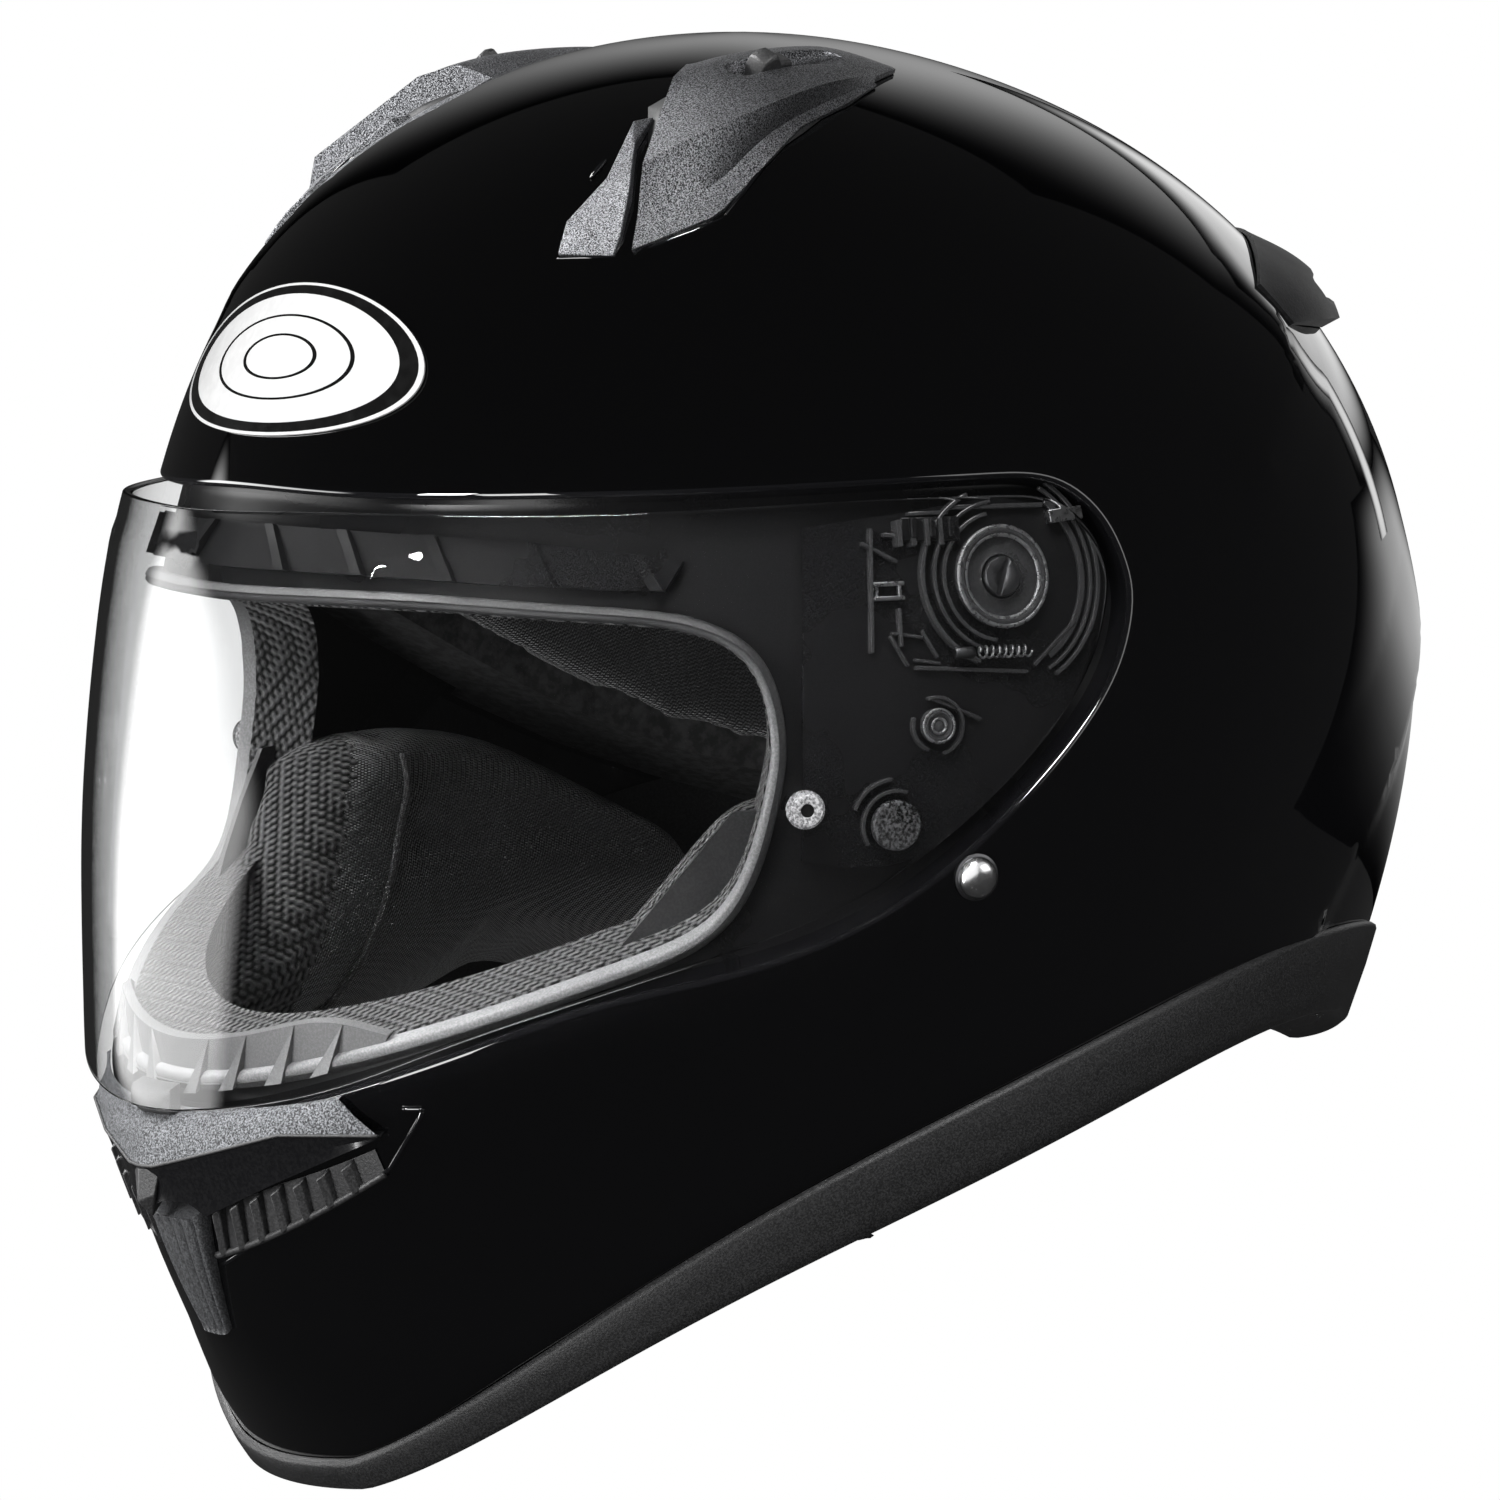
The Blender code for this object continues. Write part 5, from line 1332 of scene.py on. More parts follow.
def make_bottom_trim():
    """Moulded strip round the rim with softened edges."""
    turn = np.linspace(0, 2 * math.pi, 300, endpoint=False)
    leg = cosine_series(TRIM_LEG)(turn)
    high = FLOOR_GAP + TRIM_WALL
    inside_depth = -SHELL_WALL - FLOOR_GAP
    stations = [(leg - 0.2, 0.2), (leg, 0.7), (leg - 0.1, high - 0.35), (leg - 0.6, high),
                (leg * 0.6, high + 0.15),
                (leg * 0.3, high), (1.2, high - 0.1), (0.35, high - 0.7), (0.0, 0.4), (0.0, -3.0),
                (0.5, inside_depth - 0.9), (2.2, inside_depth - TRIM_WALL), (6.0, inside_depth - TRIM_WALL),
                (6.3, inside_depth - 0.6), (6.0, inside_depth), (2.4, inside_depth), (2.4, 0.4)]
    rings = [SHELL.at(turn, rim_drop(turn, lift), depth) for lift, depth in stations]
    verts, faces = loft(rings + rings[:1])
    flat = rest(verts)
    flat[:, 2] = np.maximum(flat[:, 2], flat[:, 2].min() + TRIM_FLAT)
    make("bottom_trim_strip", worn(flat), faces, SATIN_GRAIN, replaces=["bottom_trim"], sharp=50)


BADGE_CENTRE = (0.0, -96.0, 40.0)
BADGE_HALF = (50.0, 17.5)


def make_badge():
    """Oval badge with plain rings, printed on thin film."""
    at, side, up, _ = frame_at(SHELL, BADGE_CENTRE)
    angle = np.linspace(0, 2 * math.pi, BADGE_SPOKES, endpoint=False)
    shares = []
    finish = []
    for (a, mat), (b, _) in zip(BADGE_BANDS[:-1], BADGE_BANDS[1:]):
        steps = max(2, int((a - b) * 24))
        shares += [a + (b - a) * k / steps for k in range(steps)]
        finish += [mat] * steps
    rings = []
    for share in shares + [0.012]:
        x = BADGE_HALF[0] * share * np.cos(angle)
        y = BADGE_HALF[1] * share * np.sin(angle)
        rings.append(SHELL.project(at + x[:, None] * side + y[:, None] * up, 0.72))
    grid = [SHELL.project(rings[0], 0.3)] + rings
    verts = np.concatenate(grid + [rings[-1].mean(0)[None]])
    faces = quads(len(grid), BADGE_SPOKES, 0, True)
    last = (len(grid) - 1) * BADGE_SPOKES
    faces += [(last + k, last + (k + 1) % BADGE_SPOKES, len(verts) - 1) for k in range(BADGE_SPOKES)]
    obj = make("front_badge_film", verts, faces, PRINT_WHITE, replaces=["front_badge"], sharp=50)
    obj.data.materials.append(PRINT_BLACK)
    for poly in obj.data.polygons:
        row = poly.index // BADGE_SPOKES - 1
        if 0 <= row < len(finish) and finish[row] is PRINT_BLACK:
            poly.material_index = 1


BADGE_SPOKES = 128
# where each printed ring starts, as a share of the badge's half size, and its colour
BADGE_BANDS = [(1.0, PRINT_WHITE), (0.965, PRINT_BLACK), (0.90, PRINT_BLACK), (0.845, PRINT_WHITE),
               (0.56, PRINT_BLACK), (0.53, PRINT_WHITE), (0.30, PRINT_BLACK), (0.27, PRINT_WHITE),
               (0.0, PRINT_WHITE)]


# ---------------------------------------------------------------- visor mechanism

def arc_wall(axes, radius, width, start, end, low, high):
    """Curved rib standing on the surface."""
    at, side, up, out = axes
    angle = np.radians(np.linspace(start, end, 40))
    ring = np.cos(angle)[:, None] * side + np.sin(angle)[:, None] * up
    edges = ((-1, low), (-1, high), (1, high), (1, low))
    grid = np.stack([at + (radius + way * width / 2) * ring + height * out for way, height in edges], 1)
    last = len(grid) * 4 - 4
    faces = quads(len(grid), 4, 0, True) + [(3, 2, 1, 0), (last, last + 1, last + 2, last + 3)]
    return grid.reshape(-1, 3), faces


def block_at(axes, x, y, size, low, high, turn=0.0):
    """Rectangular block beside a point: x and y along the surface, size (length, width)."""
    at, side, up, out = axes
    a = math.cos(turn) * side + math.sin(turn) * up
    b = np.cross(out, a)
    verts = []
    for h in (low, high):
        for i, j in ((-1, -1), (1, -1), (1, 1), (-1, 1)):
            verts.append(at + x * side + y * up + i * a * size[0] / 2 + j * b * size[1] / 2 + h * out)
    return np.array(verts), BLOCK_FACES


def laid_on_shell(axes, verts):
    """Shape built flat at a point, laid onto the curved shell."""
    return SHELL.project(verts, (verts - axes[0]) @ axes[3])


PLATE_TOP = [(113, -44, 12), (117, -14, 15), (119, 8, 15.5), (119.5, 20, 8), (121, 26, -3)]
PLATE_LOW = [(112, -44, -58), (118, -22, -58), (122, -4, -46), (123, 12, -30), (122, 22, -14), (121, 26, -3)]
FLOOR_TOP = -RECESS + FLOOR_GAP + 1.8


LEVER_AT = (117.0, -15.5, 10.0)
SPRING_AT = (121.0, 0.0, -15.5)
SNAP_AT = (119.0, -16.0, -30.0)
PAD_AT = (118.0, -25.0, -50.0)
COILS = 8
# radius, width, first and last angle and height of the ribs round the hub, and round snap and stop pad
HUB_ARCS = ((13.2, 0.9, 100, 262, 1.2), (15.6, 0.8, 95, 268, 1.6), (18.4, 0.9, 110, 250, 1.9),
            (19.6, 1.4, -58, 52, 1.0), (21.8, 0.8, -62, 58, 1.2), (23.6, 1.0, -60, 60, 1.4))
SPOT_ARCS = ((SNAP_AT, (5.8, 0.8, -75, 110, 1.5)), (SNAP_AT, (5.2, 0.8, 160, 250, 1.5)),
             (PAD_AT, (7.0, 0.8, 70, 215, 1.5)), (PAD_AT, (9.4, 0.8, 95, 160, 1.5)))
# a straight rib's middle forward of and above the hub, its (length, width), turn and height
STICKS = ((16.0, 13.6, (9, 0.9), 0.0, 1.8), (22.5, 9.2, (8, 0.9), 0.1, 1.6), (27.5, 6.0, (9, 0.8), 0.5, 1.4),
          (24.0, -9.8, (0.8, 8), 0.0, 1.6), (0.0, 14.6, (22, 1.0), 0.0, 1.6), (8.0, -19.0, (26, 0.9), 0.06,
                                                                               1.4),
          (30.0, -2.0, (0.8, 26), 0.06, 1.8), (12.0, -27.0, (12, 0.8), 0.4, 1.2),
          (-12.0, -14.0, (14, 0.8), -0.7, 1.2), (22.4, -11.4, (7.0, 0.7), 0.15, 1.2),
          (18.2, -17.0, (6.0, 0.7), 0.15, 1.2), (24.4, -14.6, (7.4, 0.7), 1.05, 1.2),
          (17.4, -13.4, (6.6, 0.7), 1.05, 1.2))
TEETH = tuple((23.4 - 3.2 * k, 9.6, (1.1, 5.6), 0.0, 3.0 - 0.2 * k) for k in range(4))
# steel bars of the plate, in the same terms
BARS = ((26.0, -0.6, (7.0, 0.9), 0.0, 1.5), (26.0, -3.6, (7.0, 0.9), 0.0, 1.5),
        (23.4, -2.1, (0.8, 3.8), 0.0, 1.1),
        (28.6, -2.1, (0.8, 3.8), 0.0, 1.1), (-16.5, 12.6, (9.0, 2.8), -0.12, 2.4))
HUB_PROFILE = [(10.5, -2.1), (10.1, -1.5), (9.5, -1.25), (8.9, -1.5), (8.4, -2.1), (8.3, -2.7), (5.0, -2.9),
               (4.6, -2.5), (4.3, -2.9)]
SCREW_PROFILE = [(4.2, -1.9), (3.9, -1.5), (3.0, -1.3), (0.01, -1.25)]
PLATE_FLOOR = FLOOR_TOP - 0.2
# a frame's side axis points to the rear of the helmet
FORWARD = -1.0


def plate_blocks(axes, table):
    return [block_at(axes, FORWARD * x, y, size, PLATE_FLOOR, PLATE_FLOOR + high, turn * FORWARD)
            for x, y, size, turn, high in table]


def plate_arc(axes, radius, width, start, end, high):
    return arc_wall(axes, radius, width, start, end, PLATE_FLOOR, PLATE_FLOOR + high)


def make_mechanism():
    """Base plate with its ribs and bars, hub and screw on each side, with the lever and the pads."""
    axes = frame_at(SHELL, PIVOT)
    plate = band(SHELL, resample(PLATE_TOP, 61), resample(PLATE_LOW, 61), 41, FLOOR_TOP, -RECESS + 0.2)
    round_hub = [plate_arc(axes, *arc) for arc in HUB_ARCS] + plate_blocks(axes, STICKS + TEETH)
    ribs = [(laid_on_shell(axes, verts), faces) for verts, faces in round_hub]
    for spot, arc in SPOT_ARCS:
        local = frame_at(SHELL, spot)
        verts, faces = plate_arc(local, *arc)
        ribs.append((laid_on_shell(local, verts), faces))
    rib_verts, rib_faces = join(ribs)
    bar_verts, bar_faces = join(plate_blocks(axes, BARS))
    for side, turn in SIDES:
        make(f"base_plate_panel_{side}", plate[0] * turn, plate[1], MECH, replaces=[f"base_plate_{side}"],
             sharp=40)
        soften(make(f"base_plate_ribs_{side}", rib_verts * turn, rib_faces, MECH_SHINE, sharp=30), 0.3)
        bars = make(f"base_plate_bars_{side}", laid_on_shell(axes, bar_verts) * turn, bar_faces, STEEL,
                    sharp=30)
        soften(bars, 0.25)
        local = side_frame(PIVOT, turn)
        hub = [(HUB_PROFILE[0][0], PLATE_FLOOR)] + HUB_PROFILE
        make(f"pivot_hub_ring_{side}", *turned(local, hub, 72, caps=False), MECH_SHINE,
             replaces=[f"pivot_hub_{side}"], sharp=60)
        for label, radius, height in (("outer", 10.2, -1.3), ("inner", 8.7, -1.5)):
            rim = [(radius + 0.55 * math.cos(a), height - 0.5 + 0.5 * math.sin(a)) for a in HALF_TURN]
            make(f"pivot_hub_bead_{label}_{side}", *turned(local, rim, 72, caps=False), STEEL, sharp=60)
        head = [(SCREW_PROFILE[0][0], PLATE_FLOOR)] + SCREW_PROFILE
        screw = make(f"pivot_screw_head_{side}", *turned(local, head, 48), DARK_STEEL,
                     replaces=[f"pivot_screw_{side}"], sharp=40)
        cut(screw, block_at(local, 0, 0, (1.1, 9.0), -1.75, 0.5, 0.35 * turn[0] * FORWARD))
        make_lever(side, turn)
        make_pads(side, turn)


def make_lever(side, turn):
    """Finger lever with three ribs, its coil spring and plunger housing."""
    axes = side_frame(LEVER_AT, turn)
    low = FLOOR_TOP + 0.3
    parts = [block_at(axes, 0, 0, (13, 5), low, low + 1.2)]
    parts += [block_at(axes, turn[0] * x, 0.2, (1.3, 4.2), low + 1.2, low + 2.5) for x in (-4.2, 0.0, 4.2)]
    arm = make(f"release_lever_arm_{side}", *join(parts), MECH, f"lever_{side}", [f"release_lever_{side}"],
               sharp=30)
    soften(arm, 0.3)
    at, across, up, out = side_frame(SPRING_AT, turn)
    centre = at + out * (low + 1.3)
    steps = np.linspace(0, 1, 24 * COILS + 1)[:, None]
    angle = steps * 2 * math.pi * COILS
    helix = centre + 1.15 * (np.cos(angle) * out + np.sin(angle) * up) + across * (12 * steps - 7)
    make(f"lever_spring_wire_{side}", *tube(helix, 0.28, 8), STEEL, replaces=[f"lever_spring_{side}"])
    rod = [centre - across * reach for reach in (12.5, 12.2, 8.3, 8.0)]
    make(f"lever_plunger_body_{side}", *tube(rod, [0.95, 1.2, 1.2, 0.95], 28), DARK_STEEL, f"lever_{side}",
         [f"lever_plunger_{side}"], sharp=40)


def make_pads(side, turn):
    """Snap button with its two bright beads, and the textured stop pad."""
    low = FLOOR_TOP + 0.3
    axes = side_frame(SNAP_AT, turn)
    snap = [(3.6, low), (3.6, low + 1.5), (3.2, low + 2.0), (2.7, low + 2.1), (2.4, low + 1.6),
            (1.6, low + 1.4),
            (0.9, low + 1.9), (0.01, low + 2.0)]
    make(f"plate_snap_button_{side}", *turned(axes, snap, 48), MECH_SHINE, replaces=[f"plate_snap_{side}"],
         sharp=50)
    for label, radius, height in (("outer", 3.35, low + 1.75), ("inner", 1.5, low + 1.7)):
        bead = [(radius + 0.35 * math.cos(a), height + 0.4 * math.sin(a)) for a in HALF_TURN]
        make(f"plate_snap_bead_{label}_{side}", *turned(axes, bead, 48, caps=False), STEEL, sharp=60)
    pad = [(5.2, low), (5.2, low + 1.4), (4.9, low + 1.85), (2.5, low + 1.9), (0.01, low + 1.9)]
    make(f"visor_stop_disc_{side}", *turned(side_frame(PAD_AT, turn), pad, 48), SPARKLE,
         replaces=[f"visor_stop_pad_{side}"], sharp=50)


# ---------------------------------------------------------------- port lip and strips

def make_port_lip():
    """Soft bead round the eye port with its paler inner edge, darker towards its top with painted shade."""
    inner = round_corners(lens_loop(PORT_TOP, PORT_LOW, PORT_COLUMNS, 0.4))
    floor = -RECESS + 0.2

    def rings(steps):
        return [SHELL.project(grow_loop(inner, grow, PORT_COLUMNS // 2), floor + height) for grow,
                height in steps]

    bead = rings([(3.2, 0.0), (3.2, 2.2), (2.8, 3.0), (1.6, 3.5), (1.6, 0.0)])
    make("port_gasket_bead", *loft(bead), RUBBER, replaces=["port_gasket"], sharp=60)
    lip = rings([(1.6, 0.4), (1.6, 3.1), (0.7, 3.3), (0.0, 2.7), (0.0, -4.5)])
    make("port_gasket_lip", *loft(lip), PORT_LIP, sharp=60)


BROW_TOP = [(0, -108, 8), (45, -102, 8), (80, -84, 7), (98, -64, 4)]
BROW_LOW = [(0, -111, -1), (45, -103, -1), (80, -84, -2), (96, -67, -2.5)]
FIN_TOP = [(0, -127, -99.2), (28.8, -122.6, -95.6), (44.9, -116.2, -92.6), (56.5, -109.2, -94.6)]
FIN_LOW = [(0, -126.6, -109.0), (28.1, -122.3, -105.4), (41, -117.5, -102.8), (55.4, -109.8, -96.9)]
FIN_PLACES = (0.12, 0.34, 0.56, 0.78)


def make_strips():
    """Brow strip with slanted ribs and the finned strip behind the chin bar."""
    floor = -RECESS + 0.2
    high = resample(mirrored(BROW_TOP), 81)
    low = resample(mirrored(BROW_LOW), 81)
    parts = [band(SHELL, high, low, 9, floor + 2.2, floor)]
    for k in range(4, 77, 8):
        slant = 3 if k > 40 else -3
        c, d = low[min(max(k + slant, 0), 80)], low[min(max(k + slant + 1, 0), 80)]
        corners = np.array([high[k], high[k + 1], d, c])
        outer = SHELL.project(corners, floor + np.array([3.3, 3.3, 4.2, 4.2]))
        parts.append((np.concatenate([outer, SHELL.project(corners, floor + 1.0)]), BLOCK_FACES))
    make("brow_strip", *join(parts), MECH, replaces=["brow_vent_strip"], sharp=30)
    high = resample(mirrored(FIN_TOP), 81)
    low = resample(mirrored(FIN_LOW), 81)
    parts = [band(SHELL, high, low, 7, floor + 1.6, floor - 0.2)]
    for place in FIN_PLACES:
        for flip in (-1, 1):
            foot = 40 + flip * int(38 * place)
            tip = foot + flip * 4
            corners = np.array([high[tip], low[foot], low[foot + flip * 3]])
            near = SHELL.project(corners, floor + np.array([1.8, 4.4, 4.4]))
            back = SHELL.project(corners, floor + 0.6)
            parts.append((np.concatenate([near, back]), WEDGE_FACES))
    make("chin_strip", *join(parts), FIN_GREY, replaces=["chin_vent_strip"], sharp=30)


# ---------------------------------------------------------------- fixings

def make_rivets():
    """Chrome strap rivet on a dark washer, low on each side."""
    dome_turn = np.linspace(0, math.pi / 2, 9)
    head = [(2.2, -5.8), (2.2, 0.1), (4.3, 0.25)]
    head += [(4.3 * math.cos(a) ** 0.8 + 0.01, 0.7 + 2.2 * math.sin(a)) for a in dome_turn]
    washer = [(4.9, 0.05), (4.9, 0.35), (4.4, 0.5), (4.2, 0.3)]
    for side, turn in SIDES:
        axes = side_frame(RIVET_AT, turn)
        make(f"strap_rivet_head_{side}", *turned(axes, head, 56), SOFT_CHROME,
             replaces=[f"strap_rivet_{side}"],
             sharp=60)
        make(f"strap_rivet_washer_{side}", *turned(axes, washer, 56), DARK_STEEL, sharp=60)

# ---------------------------------------------------------------- soft goods

def unworld(pts):
    """Row frame metres back to worn millimetres."""
    return worn((np.asarray(pts, float) - PIVOT_WORLD) / MM)


def coordinates(obj):
    data = np.empty(len(obj.data.vertices) * 3)
    obj.data.vertices.foreach_get("co", data)
    return data.reshape(-1, 3)


def set_coordinates(obj, pts):
    obj.data.vertices.foreach_set("co", np.asarray(pts, float).ravel())
    obj.data.update()


def inflate(obj, voxel, pressure, cap):
    """Swell a closed cover over its padding with cloth, by no more than a cap, then subdivide it."""
    remesh = obj.modifiers.new("remesh", "REMESH")
    remesh.mode = "VOXEL"
    remesh.voxel_size = voxel * MM
    apply_modifiers(obj)
    start = coordinates(obj)
    cloth = obj.modifiers.new("cloth", "CLOTH")
    cloth.settings.use_pressure = True
    cloth.settings.uniform_pressure_force = pressure
    cloth.settings.tension_stiffness = 20
    cloth.settings.compression_stiffness = 20
    cloth.settings.bending_stiffness = 0.8
    cloth.settings.quality = 5
    cloth.settings.effector_weights.gravity = 0.0
    cloth.collision_settings.use_collision = False
    scene = bpy.context.scene
    for step in range(1, CLOTH_STEPS + 1):
        scene.frame_set(step)
    apply_modifiers(obj)
    scene.frame_set(1)
    moved = coordinates(obj) - start
    size = np.linalg.norm(moved, axis=1)[:, None]
    set_coordinates(obj, start + moved * np.minimum(1.0, cap * MM / np.maximum(size, 1e-9)))
    even = obj.modifiers.new("even", "SMOOTH")
    even.factor = 0.5
    even.iterations = 3
    fine = obj.modifiers.new("fine", "SUBSURF")
    fine.levels = fine.render_levels = 1
    apply_modifiers(obj)
    obj.data.shade_smooth()


CLOTH_STEPS = 20


def groove(obj, line, depth, width, home):
    """Press a sewn channel into a cover along a line given in worn millimetres."""
    pts = coordinates(obj)
    far, _ = distance_to(unworld(pts + home), line)
    normals = np.empty(len(pts) * 3)
    obj.data.vertices.foreach_get("normal", normals)
    push = depth * MM * np.exp(-(far / width) ** 2)
    set_coordinates(obj, pts - normals.reshape(-1, 3) * push[:, None])


def paint(obj, test):
    """Give the second material to the faces whose middle passes a test."""
    middles = np.array([p.center[:] for p in obj.data.polygons]) + np.array(obj.location)
    chosen = test(unworld(middles))
    for poly, hit in zip(obj.data.polygons, chosen):
        if hit:
            poly.material_index = 1


CHEEK_DEPTH = 12.9
CHEEK_THICK = 36.0
CHEEK_TOP = [(98, -52, -48), (104, -38, -47), (112, 0, -50), (108, 40, -70), (98, 66, -84)]
CHEEK_LOW = [(64, -94, -112), (88, -62, -128), (110, -10, -118), (108, 36, -108), (98, 66, -102)]


def make_cheek_pads():
    """Cheek pads: plush over the face, open mesh along the front edge, piping between them."""
    upper = resample(CHEEK_TOP, 61)
    lower = resample(CHEEK_LOW, 61)
    grid = between(upper, lower, 41)
    outer = SHELL.project(grid, -CHEEK_DEPTH - 0.6)
    inner = SHELL.project(grid, -CHEEK_DEPTH - 7.0 - (CHEEK_THICK - 11.5) * pillow(41, 61))
    verts, faces = slab(outer, inner)
    high, low = upper[9], lower[11]
    for side, turn in SIDES:
        pad = make(f"cheek_pad_cover_{side}", verts * turn, faces, PLUSH, replaces=[f"cheek_pad_{side}"])
        inflate(pad, 5.0, 4.0, 4.0)
        home = np.array(pad.location)
        seam = [SHELL.project(high * (1 - s) + low * s, -30.0) * turn for s in np.linspace(0, 1, 25)]
        groove(pad, seam[::8], 2.2, 3.0, home)
        middle = [SHELL.project(upper[k] * 0.52 + lower[k] * 0.48, -44.0) * turn for k in (14, 26, 38, 50)]
        groove(pad, middle, 2.0, 4.5, home)
        pad.data.materials.append(MESH)

        def in_front(pts):
            lead = low - high
            share = np.clip(((pts * turn - high) @ lead) / (lead @ lead), 0, 1)
            return pts[:, 1] < (high + share[:, None] * lead)[:, 1]

        paint(pad, in_front)
        surface_line(pad, f"cheek_pad_piping_{side}", seam, 0.9, PIPING)


def surface_line(obj, name, line, radius, mat):
    """Piping laid on a piece's surface along a worn line seen from inside the helmet."""
    graph = bpy.context.evaluated_depsgraph_get()
    source = obj.evaluated_get(graph)
    home = np.array(obj.location)
    centre = world(LINING_MIDDLE)
    path = []
    for p in line:
        lead = world(np.asarray(p)) - centre
        hit, where, normal, _ = source.ray_cast(Vector(centre - home), Vector(lead / np.linalg.norm(lead)))
        if hit:
            path.append(unworld(np.array(where) + home + np.array(normal) * radius * 0.35 * MM))
    if len(path) > 3:
        spots = path[::2] + ([] if len(path) % 2 else path[-1:])
        make(name, *tube(resample(spots, 60), radius, 10), mat)


LINING_MIDDLE = (0.0, 5.0, -60.0)


NECK_TURN = math.radians(58)
NECK_TOP = [-89, -88, -78, -76, -76]
NECK_LIFT = 7.0


def make_neck_cushion():
    """Padded roll round the neck with three pressed channels."""
    turn = math.pi + np.linspace(-NECK_TURN, NECK_TURN, 91)
    upper = SHELL.at(turn, level_drop(turn - math.pi, NECK_TOP))
    lower = SHELL.at(turn, rim_drop(turn, NECK_LIFT))
    grid = between(upper, lower, 21)
    outer = SHELL.project(grid, -7.6)
    inner = SHELL.project(grid, -11.0 - 13.5 * pillow(21, 91, 2))
    roll = make("neck_roll_cover", *slab(outer, inner), SMOOTH_CLOTH, replaces=["neck_roll"])
    inflate(roll, 4.5, 4.0, 2.5)
    home = np.array(roll.location)
    for k in (22, 45, 68):
        line = [SHELL.project(grid[j, k], -24.0) for j in (2, 8, 14, 19)]
        groove(roll, line, 1.6, 3.0, home)


FOAM_WALL = 28.0
LINER_WALL = 7.0
LINER_GAP = 1.0
LINER_EDGE = [4, 2, -38, -70, -80]


def make_crown_lining():
    """Padded lining over the head with sewn channels and an open mesh at the front."""
    depth = -SHELL_WALL - 0.8 - FOAM_WALL - LINER_GAP
    cover = dome(SHELL, depth - 0.9, depth - LINER_WALL + 1.2, 120, 44,
                 lambda t: level_drop(t, LINER_EDGE) - 0.012)
    lining = make("crown_lining_cover", *cover, PLUSH, replaces=["crown_liner"])
    cut(lining, band(SHELL, *lens(PORT_TOP, PORT_LOW, 61, 7.0), 9, 14.0, -70.0))
    inflate(lining, 3.6, 3.0, 2.0)
    home = np.array(lining.location)
    turns = np.radians([0, 36, 72, 108, 144, 180])
    channels = [SHELL.at(angle, np.linspace(0.35, 1.25, 7), depth - LINER_WALL) for angle in (*turns,
                                                                                              *-turns[1:-1])]
    channels.append(SHELL.at(np.linspace(0, 2 * math.pi, 33), 0.75, depth - LINER_WALL))
    for line in channels:
        groove(lining, line, 2.2, 4.0, home)
    lining.data.materials.append(MESH)
    paint(lining, lambda p: (p[:, 1] < -40) & (p[:, 2] < 22))


STRAP_WIDTH = 24.0
STRAP_THICK = 1.6
STRAP_MIDDLE = -8.0
RING_BAR = (56.0, -139.0)
RING_LENGTH = 21.0
RING_WIRE = 1.9
RING_SPREAD = 2.0


def side_path():
    """Strap on the left side from the rivet down along the foam, as (across, up) points."""
    line = []
    for z, depth in ((-74, -8.4), (-84, -8.4), (-98, -7.4), (-112, -7.2)):
        p = SHELL.project(np.array([118.0, STRAP_MIDDLE, z]), depth)
        line.append((p[0], p[2]))
    return line


def webbing(path):
    """Flat woven strap with rounded selvedges, its width running front to back."""
    path = resample(path, 140)
    lead = np.gradient(path, axis=0)
    lead /= np.linalg.norm(lead, axis=1)[:, None]
    square = np.stack([-lead[:, 1], lead[:, 0]], -1)
    half = STRAP_WIDTH / 2
    profile = []
    for y in np.linspace(-half, half, 25):
        ribs = 0.12 * math.cos(y / half * math.pi * 6)
        edge = math.sqrt(max(0.0, 1 - (abs(y) / half) ** 14))
        profile.append((y, (STRAP_THICK / 2 - 0.14) * edge + ribs * edge))
    loop = profile + [(y, -h) for y, h in profile[::-1]][1:-1]
    rings = []
    for y, h in loop:
        line = path + square * h
        rings.append(np.stack([line[:, 0], np.full(len(line), STRAP_MIDDLE + y), line[:, 1]], -1))
    grid = np.stack(rings, 1)
    count = len(loop)
    last = (len(path) - 1) * count
    faces = quads(len(path), count, 0, True)
    faces += [tuple(range(count)), tuple(range(last + count - 1, last - 1, -1))]
    return clean(grid.reshape(-1, 3), faces)


def bend_round(middle, radius, degrees):
    return [tuple(middle + radius * np.array([math.cos(a), math.sin(a)])) for a in np.radians(degrees)]


def make_straps():
    """Chin strap of two fastened webbings and the two D-rings they pass through."""
    bar = np.array(RING_BAR)
    lead = side_path()
    hook = bend_round(bar, 4.2, [80, 130, 180, 230, 280])
    make("chin_strap_left", *webbing(lead + [(98, -124), (78, -131.5)] + hook + [(67, -142.9)]), WEBBING,
         replaces=["strap_left"], sharp=50)
    far = bar - np.array([RING_LENGTH, 3.5])
    wrap = bend_round(far, 6.4, [250, 300, 350, 40, 85])
    start = [(-x, z) for x, z in lead]
    outer = start + [(-96, -127), (-70, -140), (-35, -147.5), (0, -150)] + wrap + [(10, -137), (-14, -138)]
    make("chin_strap_right", *webbing(outer), WEBBING, replaces=["strap_right"], sharp=50)
    half = STRAP_WIDTH / 2 + 5.0
    tip = far - bar
    for name, rise in (("upper", RING_SPREAD), ("lower", -RING_SPREAD)):
        loop = []
        for a in np.linspace(-math.pi / 2, math.pi / 2, 61):
            reach = 0.3 + 0.7 * math.cos(a)
            across = math.copysign(abs(math.sin(a)) ** 0.6, a)
            loop.append((bar[0] + tip[0] * reach, STRAP_MIDDLE + half * across,
                         bar[1] + tip[1] * reach + rise))
        loop += [(bar[0], STRAP_MIDDLE + half * s, bar[1] + rise) for s in np.linspace(1, -1, 21)]
        make(f"strap_d_ring_{name}", *tube(loop, RING_WIRE / 2, 20, True), CHROME, f"ring_{name}",
             [f"strap_ring_{name}"])


